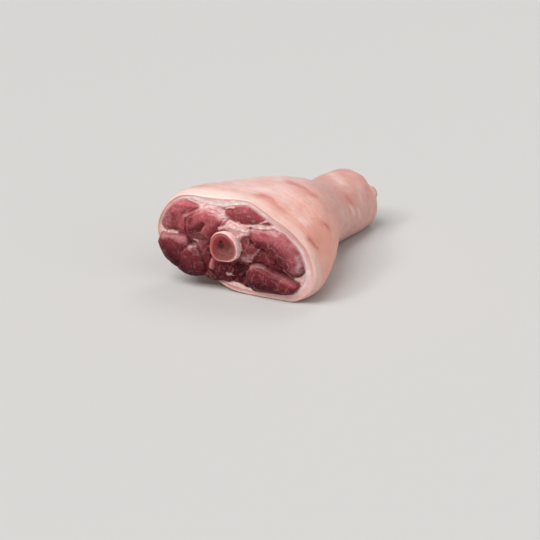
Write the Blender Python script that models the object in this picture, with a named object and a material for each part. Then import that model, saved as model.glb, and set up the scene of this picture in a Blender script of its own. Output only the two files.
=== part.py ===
"""A raw pork hind shank, sawn through at the ham end and cut off square at the hock.

Lengths here are in millimetres, and become metres where the meshes are made.
+Y runs along the shank from the cut face to the hock, +X is to the right of
someone who looks at the cut face, +Z is up, and the shank lies on Z = 0.
Outlines are drawn round the middle of the cut face, and ORIGIN moves them all,
so that the origin is under the middle of the whole.
"""
import math

import bmesh
import bpy
import numpy as np

MM = 0.001
NAME = "pork_hind_shank"

# The whole
LENGTH = 215.0                       # from the middle of the cut face to the hock end
ORIGIN = (-0.64, -98.54)             # X, Y of the face's middle, from the origin
GAP = 0.3                            # between neighbouring pieces
MUSCLE_GAP = 0.45                    # between a muscle that bulges at the cut and the fat beside it

# The cut face: a plane turned to the right and leaning back
FACE_HEIGHT = 42.0
FACE_TURN = math.radians(11.0)
FACE_LEAN = math.radians(4.0)
SLANT_REACH = 100.0                  # behind this the cross sections stand square
# Rim of the rind round the cut face: distances from its middle every 18 degrees, from +X upwards
RIM_RADII = (70, 58, 48, 44, 44, 42.4, 43.2, 50, 65, 72, 73, 64, 50, 40, 38, 40, 44, 53, 70, 77)
# Rind and fat together at the cut, in the same directions
RIM_FAT = (7.5, 7.5, 5.8, 4.6, 4.6, 6, 8, 7.5, 4.6, 3.2, 3, 3, 3, 3, 3.5, 4, 4, 3.8, 6, 9)
RIM_REACH = 42.0                     # behind this the rim's outline has become the body's
RIM_EDGE = 1.2                       # rounding of the rind's cut edge

# The body's cross sections: distance along, middle X and Z, half width and height,
# sideways lean for each mm of height, and how square the section is (2 is an ellipse)
SECTIONS = (
    (0.0, 0.0, 42.0, 69.0, 42.0, -0.48, 2.30),
    (30.0, 3.0, 40.0, 62.5, 44.5, -0.39, 2.50),
    (60.0, 6.0, 41.0, 56.0, 42.5, -0.25, 2.40),
    (90.0, 3.0, 39.5, 47.5, 39.0, -0.15, 2.35),
    (120.0, -1.5, 34.5, 39.0, 34.5, -0.10, 2.25),
    (150.0, -1.5, 28.5, 33.5, 29.5, -0.11, 2.20),
    (180.0, -2.0, 26.5, 31.0, 29.5, -0.18, 2.20),
    (215.0, -2.0, 25.5, 27.0, 28.5, -0.23, 2.05),
)
FLOOR_EASE = 1.0                     # how softly the underside meets the surface it lies on

# The rind bulges just behind the saw cut, most at the upper left and the lower right
SWELL_MEAN = 1.6
SWELL_SPREAD = 1.4
SWELL_ANGLE = math.radians(140.0)
SWELL_PEAK = 13.0                    # distance behind the cut

# At the lower left the rind has drawn back, and the muscles overhang it
RETREAT = 8.0
RETREAT_ANGLE = math.radians(218.0)
RETREAT_HALF = math.radians(48.0)
RETREAT_REACH = 32.0
OVERHANG = 2.0

# Rind and fat further back
BODY_FAT = 5.0
HOCK_FAT = 3.5

# The hock end curls in towards the bone
CURL_LENGTH = 12.0
CURL_INSET = 8.5
HOCK_RECESS = 2.5                    # the tendons lie this far inside the rind's end

# The shin bone, a tube filled with marrow
BONE_START = (-6.0, -0.5)            # its middle on the cut face, across and up
BONE_END = (-2.5, -15.5)             # its middle at the hock, across and up from the face's middle
BONE_STANDS_OUT = 6.0                # in front of the middle of the cut face
BONE_SET_BACK = 1.0                  # its far end lies this far inside the hock end
# Distance along, outer radius, wall
BONE_SECTIONS = (
    (0.0, 14.0, 2.7),
    (25.0, 12.6, 2.9),
    (75.0, 10.2, 3.2),
    (130.0, 9.6, 3.0),
    (180.0, 11.6, 2.4),
    (215.0, 13.0, 2.2),
)
BONE_REACH = 70.0                    # behind this the bone is round
# Its outline at the cut, as shares of its radius, every 30 degrees
BONE_OUTLINE = (0.88, 0.84, 0.91, 0.96, 0.97, 0.94, 0.89, 0.92, 0.93, 0.95, 1.01, 1.01)
BONE_EDGE = 0.9                      # rounding of the sawn edge
MARROW_RECESS = 0.9                  # inside the bone's sawn ends
MARROW_DOME = 0.5

# The muscles that show at the cut. Each has its height above the face's plane and an outline
# across and up from the face's middle, which a smooth closed curve runs through.
SEAM_DEPTH = 4.0                     # the seams between them lie this far behind the plane
BULGE_START = 1.6                    # a muscle is widest this far behind the plane
ROOT_DEPTH = 9.0                     # and rooted this much deeper
RIND_CLEARANCE = 3.5                 # room between an overhanging muscle and the rind behind it
MUSCLES = {
    "upper_left": (3.5, (
        (-58, 33), (-46, 34), (-34, 31), (-43, 23), (-48, 14), (-48, 6), (-58, 5), (-68, 9),
        (-68, 23))),
    "dome": (6.5, (
        (-47, 14), (-42, 25), (-28, 32), (-14, 29), (-8, 21), (-18, 14), (-31, 12), (-43, 7))),
    "dome_foot": (2.0, (
        (-27, 17), (-12, 15), (-18, 9), (-24, 3), (-31, 6), (-32, 12))),
    "strip": (0.5, (
        (-44, 3), (-34, 7), (-25, 4), (-30, 0), (-40, -3))),
    "lower_left": (5.5, (
        (-71, -4), (-66, 2), (-54, 1), (-43, -6), (-49, -14), (-54, -25), (-65, -18))),
    "bottom_left": (5.5, (
        (-50, -14), (-41, -6), (-34, -12), (-26, -22), (-29, -31), (-42, -32), (-52, -25))),
    "beside_bone": (3.0, (
        (-36, -5), (-27, 1), (-22, -4), (-22, -14), (-22, -29), (-27, -25), (-31, -13))),
    "below_bone": (3.0, (
        (-20, -21), (-11, -18), (-3, -20), (-1, -30), (-11, -34), (-21, -28))),
    "recess": (-2.0, (
        (0, -18), (9, -15), (11, -24), (9, -34), (0, -32))),
    "lower_right": (4.5, (
        (12, -20), (22, -15), (42, -21), (58, -24), (58, -34), (38, -38), (17, -37), (10, -28))),
    "wedge": (-1.0, (
        (17, -9), (25, -1), (38, -10), (49, -19), (35, -17), (17, -13))),
    "big_right": (5.0, (
        (13, 14), (26, 18), (45, 13), (58, 5), (65, -8), (58, -18), (44, -14), (31, -2), (18, 4))),
    "upper_mid": (3.5, (
        (-8, 29.5), (2, 36.5), (16, 38), (28, 31.5), (36, 24.5), (22, 21.5), (6, 20.5))),
    "fat_patch": (1.5, (
        (-14, 16), (-6, 21), (4, 19), (15, 17), (9, 12), (-4, 15))),
    "tissue": (0.5, (
        (11, 8), (21, 2), (20, -4), (13, -11), (9, -5))),
}
# Each muscle's sides, from its root to its crown: share of the outline, share of the way up
MUSCLE_PROFILE = ((0.90, -1.0), (0.97, -0.45), (1.0, 0.0), (0.93, 0.60), (0.76, 0.88), (0.42, 0.985))

# Colours, in linear light
RIND_COLOUR = (0.76, 0.47, 0.37)
MEAT_COLOUR = (0.33, 0.07, 0.075)
BONE_COLOUR = (0.74, 0.52, 0.45)
MARROW_COLOUR = (0.42, 0.13, 0.12)

# How finely the solids are cut
SKIN_SPOKES = 44
SKIN_STOPS = (6, 13, 22, 32, 44, 57, 71, 85, 99, 112, 124, 136, 148, 161, 175, 189)
CURL_SHARES = (0.0, 0.5, 0.8, 0.95, 1.0)
CORE_STOPS = (6, 13, 32, 57, 85, 112, 136, 161, 189, 203, 209, LENGTH - HOCK_RECESS)
BONE_SPOKES = 20
BONE_STOPS = (20, 50, 80, 130, 165, 195)
CUTTER_OVERSHOOT = 20.0
MUSCLE_STEPS = 3                     # points for each one given in an outline


def clear_scene():
    for obj in list(bpy.data.objects):
        bpy.data.objects.remove(obj, do_unlink=True)


def along(rows, at):
    """Smooth values between rows whose first number is a distance, one result row for each distance."""
    table = np.array(rows, dtype=float)
    places, values = table[:, 0], table[:, 1:]
    at = np.clip(np.asarray(at, dtype=float), places[0], places[-1])
    left = np.clip(np.searchsorted(places, at, side="right") - 1, 0, len(places) - 2)
    span = places[left + 1] - places[left]
    u = ((at - places[left]) / span)[..., None]
    slope = np.gradient(values, places, axis=0)
    start = (2 * u**3 - 3 * u**2 + 1) * values[left] + (u**3 - 2 * u**2 + u) * span[..., None] * slope[left]
    end = (3 * u**2 - 2 * u**3) * values[left + 1] + (u**3 - u**2) * span[..., None] * slope[left + 1]
    return start + end


def around(values, turns):
    """Read a smooth closed curve through evenly spaced values, at turns from 0 to 1."""
    values = np.array(values, dtype=float)
    count = len(values)
    place = (np.asarray(turns, dtype=float) % 1.0) * count
    first = np.floor(place).astype(int)
    u = place - first
    if values.ndim > 1:
        u = u[..., None]
    before, here = values[(first - 1) % count], values[first % count]
    after, beyond = values[(first + 1) % count], values[(first + 2) % count]
    return 0.5 * (2 * here + (after - before) * u
                  + (2 * before - 5 * here + 4 * after - beyond) * u**2
                  + (3 * here - before - 3 * after + beyond) * u**3)


def hump(angles, middle, half_width):
    """1 at the middle angle, falling smoothly to 0 at half_width to each side."""
    apart = np.abs((angles - middle + math.pi) % math.tau - math.pi) / half_width
    return np.cos(np.clip(apart, 0.0, 1.0) * math.pi / 2) ** 2


def spokes(count):
    return np.arange(count) * math.tau / count


def slant(x, z, y):
    """How far the turned and leaning cut face shifts a point of a section along the shank."""
    share = np.clip(1.0 - y / SLANT_REACH, 0.0, 1.1) ** 1.5
    return share * (math.tan(FACE_TURN) * x + math.tan(FACE_LEAN) * (z - FACE_HEIGHT))


def on_face(across, up, out):
    """A point of the cut face's plane, moved out along its normal."""
    right = np.array((math.cos(FACE_TURN), math.sin(FACE_TURN), 0.0))
    level = np.array((math.sin(FACE_TURN), -math.cos(FACE_TURN), 0.0))
    upward = np.array((0.0, 0.0, math.cos(FACE_LEAN))) - level * math.sin(FACE_LEAN)
    normal = np.cross(right, upward)
    middle = np.array((0.0, 0.0, FACE_HEIGHT))
    parts = [np.asarray(value, dtype=float)[..., None] for value in (across, up, out)]
    return middle + parts[0] * right + parts[1] * upward + parts[2] * normal


def body_fat(angles, y):
    """Thickness of rind and fat together."""
    near_cut = np.clip(1.0 - y / RIM_REACH, 0.0, 1.0) ** 2
    near_hock = np.clip((y - LENGTH / 2) / (LENGTH / 2), 0.0, 1.0)
    behind = BODY_FAT + (HOCK_FAT - BODY_FAT) * near_hock
    return near_cut * around(RIM_FAT, angles / math.tau) + (1.0 - near_cut) * behind + swell(angles, y)


def swell(angles, y):
    """How far the rind stands proud behind the saw cut."""
    height = SWELL_MEAN + SWELL_SPREAD * np.cos(2.0 * (angles - SWELL_ANGLE))
    share = np.clip(y, 0.0, None) / SWELL_PEAK
    return height * share * np.exp(1.0 - share)


def ring(y, angles, depth):
    """One cross section as a ring of points, depth below the skin. y may differ from spoke to spoke."""
    y = np.broadcast_to(np.asarray(y, dtype=float), angles.shape)
    x_mid, z_mid, half_w, half_h, lean, power = along(SECTIONS, y).T
    sideways = np.abs(np.cos(angles) - lean * np.sin(angles)) / half_w
    upward = np.abs(np.sin(angles)) / half_h
    body = (sideways**power + upward**power) ** (-1.0 / power)
    near_cut = np.clip(1.0 - y / RIM_REACH, 0.0, 1.0) ** 2
    radius = near_cut * around(RIM_RADII, angles / math.tau) + (1.0 - near_cut) * body
    curl = np.clip((y - LENGTH + CURL_LENGTH) / CURL_LENGTH, 0.0, 1.0)
    radius = radius + swell(angles, y) - CURL_INSET * (1.0 - np.sqrt(1.0 - curl**2)) - depth
    x = x_mid * (1.0 - near_cut) + radius * np.cos(angles)
    z = z_mid * (1.0 - near_cut) + FACE_HEIGHT * near_cut + radius * np.sin(angles)
    above = z - depth
    eased = np.clip(above + FLOOR_EASE, 0.0, None) ** 2 / (4.0 * FLOOR_EASE)
    z = depth + np.where(above > FLOOR_EASE, above, eased)
    return np.stack((x, y + slant(x, z, y), z), axis=1)


def drawn_back(y, angles):
    """Distances of a ring of the rind, moved back where it has left the cut."""
    fade = np.clip(1.0 - y / RETREAT_REACH, 0.0, 1.0)
    return y + RETREAT * hump(angles, RETREAT_ANGLE, RETREAT_HALF) * fade


def make_object(name, points, faces, collection):
    """A mesh object from millimetre points, closed and facing out."""
    mesh = bpy.data.meshes.new(name)
    placed = (np.asarray(points) + (ORIGIN[0], ORIGIN[1], 0.0)) * MM
    mesh.from_pydata(placed.tolist(), [], faces)
    shape = bmesh.new()
    shape.from_mesh(mesh)
    bmesh.ops.recalc_face_normals(shape, faces=shape.faces)
    shape.to_mesh(mesh)
    shape.free()
    obj = bpy.data.objects.new(name, mesh)
    collection.objects.link(obj)
    return obj


def ring_faces(ring_count, spoke_count, turn_back=None):
    """Triangles between neighbouring rings. From ring turn_back on the rings run the other way,
    so the diagonals change sides, and the last ring joins the first."""
    faces = []
    for i in range(ring_count - 1 if turn_back is None else ring_count):
        here, there = i * spoke_count, (i + 1) % ring_count * spoke_count
        for k in range(spoke_count):
            n = (k + 1) % spoke_count
            if turn_back is None or i < turn_back:
                faces.append((here + k, here + n, there + n))
                faces.append((here + k, there + n, there + k))
            else:
                faces.append((here + k, here + n, there + k))
                faces.append((here + n, there + n, there + k))
    return faces


def sleeve_object(name, outside, inside, collection):
    """A thick tube: its rings run back outside and return inside."""
    rings = outside + inside
    faces = ring_faces(len(rings), len(rings[0]), len(outside))
    return make_object(name, np.concatenate(rings), faces, collection)


def capped_object(name, rings, collection, first_middle=None, last_middle=None):
    """A solid loft with a fan of triangles at each end."""
    count = len(rings[0])
    first = rings[0].mean(axis=0) if first_middle is None else first_middle
    last = rings[-1].mean(axis=0) if last_middle is None else last_middle
    points = np.concatenate(rings + [first[None], last[None]])
    faces = ring_faces(len(rings), count)
    start, end = len(rings) * count, len(rings) * count + 1
    back = (len(rings) - 1) * count
    for k in range(count):
        n = (k + 1) % count
        faces.append((start, n, k))
        faces.append((end, back + k, back + n))
    return make_object(name, points, faces, collection)


def join_and_cut(obj, added, cutter):
    """Fuse a collection's objects to obj, cut it with the cutter, and remove what was used."""
    fuse = obj.modifiers.new("fuse", "BOOLEAN")
    fuse.operation = "UNION"
    fuse.operand_type = "COLLECTION"
    fuse.collection = added
    fuse.solver = "EXACT"
    bore = obj.modifiers.new("bore", "BOOLEAN")
    bore.operation = "DIFFERENCE"
    bore.object = cutter
    bore.solver = "EXACT"
    graph = bpy.context.evaluated_depsgraph_get()
    joined = bpy.data.meshes.new_from_object(obj.evaluated_get(graph))
    obj.modifiers.clear()
    obj.data = joined
    for used in list(added.objects):
        bpy.data.objects.remove(used, do_unlink=True)
    bpy.data.collections.remove(added)


def paint(obj, colour, roughness):
    material = bpy.data.materials.new(obj.name)
    material.use_nodes = True
    shader = material.node_tree.nodes["Principled BSDF"]
    shader.inputs["Base Color"].default_value = (*colour, 1.0)
    shader.inputs["Roughness"].default_value = roughness
    shader.inputs["Metallic"].default_value = 0.0
    obj.data.materials.clear()
    obj.data.materials.append(material)
    obj.data.shade_smooth()
    obj.data.set_sharp_from_angle(angle=math.radians(40.0))


def make_fat_layer(collection):
    """Rind and fat, one sleeve that is open at both cuts."""
    angles = spokes(SKIN_SPOKES)
    outside = [ring(drawn_back(0.0, angles), angles, RIM_EDGE)]
    for y in (RIM_EDGE,) + SKIN_STOPS:
        outside.append(ring(drawn_back(y, angles), angles, 0.0))
    for share in CURL_SHARES:
        outside.append(ring(LENGTH - CURL_LENGTH * (1.0 - share), angles, 0.0))
    inside = [ring(LENGTH, angles, body_fat(angles, LENGTH))]
    inside += [ring(y, angles, body_fat(angles, y)) for y in reversed(CORE_STOPS)]
    back = drawn_back(0.0, angles)
    inside.append(ring(back, angles, body_fat(angles, back)))
    return sleeve_object("fat_layer", outside, inside, collection)


def make_core(collection):
    """The meat inside the fat, from the seams' depth at the cut to the tendons at the hock."""
    angles = spokes(SKIN_SPOKES)
    rings = [ring(y, angles, body_fat(angles, y) + GAP) for y in (SEAM_DEPTH,) + CORE_STOPS]
    return capped_object("meat", rings, collection)


def make_muscle(name, rise, outline, collection):
    """One muscle's bulge at the cut, rooted in the meat straight behind it."""
    count = len(outline) * MUSCLE_STEPS
    loop = around(outline, np.arange(count) / count)
    middle = loop.mean(axis=0)
    rings = []
    for share, height in MUSCLE_PROFILE:
        out = height * (rise + BULGE_START if height >= 0.0 else ROOT_DEPTH) - BULGE_START
        flat = middle + (loop - middle) * share
        points = on_face(flat[:, 0], flat[:, 1], np.full(count, max(out, 0.0)))
        points = press_inside(points, room_for_muscles(max(-out, 0.0)))
        rings.append(points + (0.0, max(-out, 0.0), 0.0))
    top = on_face(middle[0], middle[1], rise)
    return capped_object(name, rings, collection, last_middle=top)


def room_for_muscles(y):
    """The fat's inner outline, or just past the rim where the rind has drawn back."""
    angles = spokes(SKIN_SPOKES)
    stops = (0.0,) + CORE_STOPS
    last = np.searchsorted(stops, y, side="right")
    near = stops[last - 1:last + 1]
    before, after = [ring(stop, angles, body_fat(angles, stop) + MUSCLE_GAP) for stop in near]
    inner = before + (after - before) * (y - stops[last - 1]) / (stops[last] - stops[last - 1])
    rim = ring(0.0, angles, -OVERHANG)
    free = hump(angles, RETREAT_ANGLE, RETREAT_HALF)
    free = np.where(y < RETREAT * free - RIND_CLEARANCE, free, 0.0)[:, None]
    return inner * (1.0 - free) + rim * free


def press_inside(points, outline):
    """Pull points towards the face's middle until they are inside an outline with straight sides."""
    flat = points[:, (0, 2)] - (0.0, FACE_HEIGHT)
    corners = outline[:, (0, 2)] - (0.0, FACE_HEIGHT)
    corners = corners[np.argsort(np.arctan2(corners[:, 1], corners[:, 0]))]
    reach = np.hypot(flat[:, 0], flat[:, 1])
    way = flat / reach[:, None]
    side = np.searchsorted(np.arctan2(corners[:, 1], corners[:, 0]), np.arctan2(flat[:, 1], flat[:, 0]))
    start, end = corners[side - 1], corners[side % len(corners)]
    along_side = end - start
    limit = (start[:, 0] * end[:, 1] - start[:, 1] * end[:, 0]) / (way[:, 0] * along_side[:, 1]
                                                                   - way[:, 1] * along_side[:, 0])
    shift = flat * (np.minimum(1.0, limit / reach) - 1.0)[:, None]
    back = math.tan(FACE_TURN) * shift[:, 0] + math.tan(FACE_LEAN) * shift[:, 1]
    return points + np.stack((shift[:, 0], back, shift[:, 1]), axis=1)


def bone_ring(y, angles, radius):
    """A ring round the shin bone's axis."""
    share = y / LENGTH
    x_mid = BONE_START[0] + (BONE_END[0] - BONE_START[0]) * share
    z_mid = BONE_START[1] + (BONE_END[1] - BONE_START[1]) * share + FACE_HEIGHT
    near_cut = min(max(1.0 - y / BONE_REACH, 0.0), 1.0)
    radius = radius * (1.0 + near_cut * (around(BONE_OUTLINE, angles / math.tau) - 1.0))
    x = x_mid + radius * np.cos(angles)
    z = z_mid + radius * np.sin(angles)
    return np.stack((x, y + slant(x, z, np.float64(y)), z), axis=1)


def bone_size(y):
    """Outer and inner radius of the bone."""
    radius, wall = along(BONE_SECTIONS, np.float64(y))
    return radius, radius - wall


def make_bone(collection):
    angles = spokes(BONE_SPOKES)
    front, back = -BONE_STANDS_OUT, LENGTH - BONE_SET_BACK
    stops = (front + BONE_EDGE,) + BONE_STOPS + (back - BONE_EDGE,)
    outside = [bone_ring(front, angles, bone_size(front)[0] - BONE_EDGE)]
    outside += [bone_ring(y, angles, bone_size(y)[0]) for y in stops]
    outside.append(bone_ring(back, angles, bone_size(back)[0] - BONE_EDGE))
    inside = [bone_ring(y, angles, bone_size(y)[1]) for y in (back,) + stops[-2:0:-1] + (front,)]
    return sleeve_object("bone", outside, inside, collection)


def make_marrow(collection):
    angles = spokes(BONE_SPOKES)
    front, back = MARROW_RECESS - BONE_STANDS_OUT, LENGTH - BONE_SET_BACK - MARROW_RECESS
    rings = [bone_ring(y, angles, bone_size(y)[1] - GAP) for y in (front,) + BONE_STOPS + (back,)]
    first = rings[0].mean(axis=0) - (0.0, MARROW_DOME, 0.0)
    last = rings[-1].mean(axis=0) + (0.0, MARROW_DOME, 0.0)
    return capped_object("marrow", rings, collection, first, last)


def make_bone_cutter(collection):
    """The bone's outside with the gap round it, past both ends of the meat."""
    angles = spokes(BONE_SPOKES)
    stops = (-CUTTER_OVERSHOOT, -BONE_STANDS_OUT) + BONE_STOPS + (LENGTH, LENGTH + CUTTER_OVERSHOOT)
    rings = [bone_ring(y, angles, bone_size(y)[0] + GAP) for y in stops]
    cutter = capped_object("bone_cutter", rings, collection)
    cutter.hide_render = True
    cutter.display_type = "WIRE"
    return cutter


def make_meat(collection, cutters):
    core = make_core(collection)
    bulges = bpy.data.collections.new("muscle_bulges")
    bpy.context.scene.collection.children.link(bulges)
    for name, (rise, outline) in MUSCLES.items():
        make_muscle(name, rise, outline, bulges)
    join_and_cut(core, bulges, make_bone_cutter(cutters))
    return core


def main():
    clear_scene()
    shank = bpy.data.collections.new(NAME)
    cutters = bpy.data.collections.new("cutters")
    bpy.context.scene.collection.children.link(shank)
    bpy.context.scene.collection.children.link(cutters)
    paint(make_fat_layer(shank), RIND_COLOUR, 0.5)
    paint(make_meat(shank, cutters), MEAT_COLOUR, 0.4)
    paint(make_bone(shank), BONE_COLOUR, 0.45)
    paint(make_marrow(shank), MARROW_COLOUR, 0.45)


main()
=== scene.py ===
"""Looks of a raw pork hind shank: rind over fat, the cut muscles, the shin bone and its marrow.

Shapes are worked out in millimetres round the middle of the cut face, and ORIGIN moves them
to the row frame. +Y runs from the cut to the hock, +X is to the right of someone who looks at
the cut, and +Z is up. A place on the cut is given across and up from the face's middle, and a
place on the skin by its angle round the leg, from +X upwards, and its distance along it.
"""
import math

import bpy
import numpy as np
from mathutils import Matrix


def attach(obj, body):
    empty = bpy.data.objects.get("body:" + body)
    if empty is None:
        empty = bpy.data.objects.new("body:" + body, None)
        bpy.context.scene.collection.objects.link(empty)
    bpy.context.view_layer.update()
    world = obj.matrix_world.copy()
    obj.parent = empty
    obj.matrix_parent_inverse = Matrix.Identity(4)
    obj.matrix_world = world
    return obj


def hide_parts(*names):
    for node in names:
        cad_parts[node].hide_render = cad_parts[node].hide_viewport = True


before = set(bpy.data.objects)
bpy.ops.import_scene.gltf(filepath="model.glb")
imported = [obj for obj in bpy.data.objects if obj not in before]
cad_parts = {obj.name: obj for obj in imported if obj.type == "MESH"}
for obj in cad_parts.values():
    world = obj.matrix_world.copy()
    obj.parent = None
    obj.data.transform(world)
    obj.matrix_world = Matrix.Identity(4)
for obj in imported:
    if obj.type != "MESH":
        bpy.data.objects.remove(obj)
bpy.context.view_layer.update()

MM = 0.001
SEED = 7

# The whole, in mm. The solids have the same form, with a plainer bone and overhang
LENGTH = 215.0  # from the middle of the cut face to the hock end
ORIGIN = (-0.64, -98.54)  # X, Y of the face's middle, from the origin
FACE_HEIGHT = 42.0
FACE_TURN = math.radians(11.0)
FACE_LEAN = math.radians(4.0)
SLANT_REACH = 100.0  # behind this the cross sections stand square
# Rim of the rind round the cut, and the rind and fat together there, every 18 degrees
RIM_RADII = (70, 58, 48, 44, 44, 42.4, 43.2, 50, 65, 72, 73, 64, 50, 40, 38, 40, 44, 53, 70, 77)
RIM_FAT = (7.5, 7.5, 5.8, 4.6, 4.6, 6, 8, 7.5, 4.6, 3.2, 3, 3, 3, 3, 3.5, 4, 4, 3.8, 6, 9)
RIM_REACH = 42.0  # behind this the rim's outline has become the body's
RIM_EDGE = 1.2  # rounding of the rind's cut edge
INNER_EDGE = 0.25  # and of the fat's edge against the flesh
# Distance along, middle X and Z, half width and height, sideways lean, squareness
SECTIONS = (
    (0.0, 0.0, 42.0, 69.0, 42.0, -0.48, 2.30),
    (30.0, 3.0, 40.0, 62.5, 44.5, -0.39, 2.50),
    (60.0, 6.0, 41.0, 56.0, 42.5, -0.25, 2.40),
    (90.0, 3.0, 39.5, 47.5, 39.0, -0.15, 2.35),
    (120.0, -1.5, 34.5, 39.0, 34.5, -0.10, 2.25),
    (150.0, -1.5, 28.5, 33.5, 29.5, -0.11, 2.20),
    (180.0, -2.0, 26.5, 31.0, 29.5, -0.18, 2.20),
    (215.0, -2.0, 25.5, 27.0, 28.5, -0.23, 2.05),
)
FLOOR_EASE = 1.0  # height over which the underside flattens
SWELL_MEAN = 1.6  # how far the rind stands proud behind the cut
SWELL_SPREAD = 1.4  # and how much that changes round the leg
SWELL_ANGLE = math.radians(140.0)
SWELL_PEAK = 13.0  # distance along of the swell's crest
RETREAT = 8.0  # how far the rind has drawn back from the cut, lower left
RETREAT_ANGLE = math.radians(218.0)
RETREAT_HALF = math.radians(48.0)
RETREAT_REACH = 32.0  # behind this it lies as before
OVERHANG = 3.5  # how far the muscles may pass the rim there
BODY_FAT = 5.0  # rind and fat behind the cut, and at the hock
HOCK_FAT = 3.5
CURL_LENGTH = 12.0  # the rind curls in over this length at the hock, by this much
CURL_INSET = 8.5
HOCK_RECESS = 2.5  # how far the flesh lies behind the rind's end there
BONE_START = (-6.0, -0.5)  # the bone's middle at the cut, from the face's middle
BONE_END = (-2.5, -15.5)  # and at the hock, from the same place
BONE_STANDS_OUT = 6.0
BONE_SET_BACK = 1.0  # at the hock
BONE_CORNER = 1.5  # rounding of its outer and inner edges
BONE_LIP = 0.9
# Distance along, outer radius, wall
BONE_SECTIONS = (
    (0.0, 14.0, 2.7),
    (25.0, 12.6, 2.9),
    (75.0, 10.2, 3.2),
    (130.0, 9.6, 3.0),
    (180.0, 11.6, 2.4),
    (215.0, 13.0, 2.2),
)
BONE_REACH = 70.0  # behind this the bone is round
# Its outline at the cut, as shares of its radius, every 30 degrees
BONE_OUTLINE = (0.88, 0.83, 0.87, 0.96, 0.99, 0.96, 0.90, 0.95, 0.99, 0.93, 1.00, 1.01)
WALL_THIN = (0.02, 0.17, 0.10)  # what the marrow gains on the bone's wall: least, left, right
WALL_THIN_ANGLES = (math.radians(214.0), math.radians(12.0))
WALL_THIN_HALF = (math.pi, math.radians(60.0))
MARROW_RECESS = 0.9  # the marrow lies this far behind the bone's end at the hock
MARROW_FRONT = 0.45  # and at the cut
MARROW_RADIUS = 11.0  # about its radius at the cut
GAP = 0.12  # between flesh, fat, bone and marrow

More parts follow.
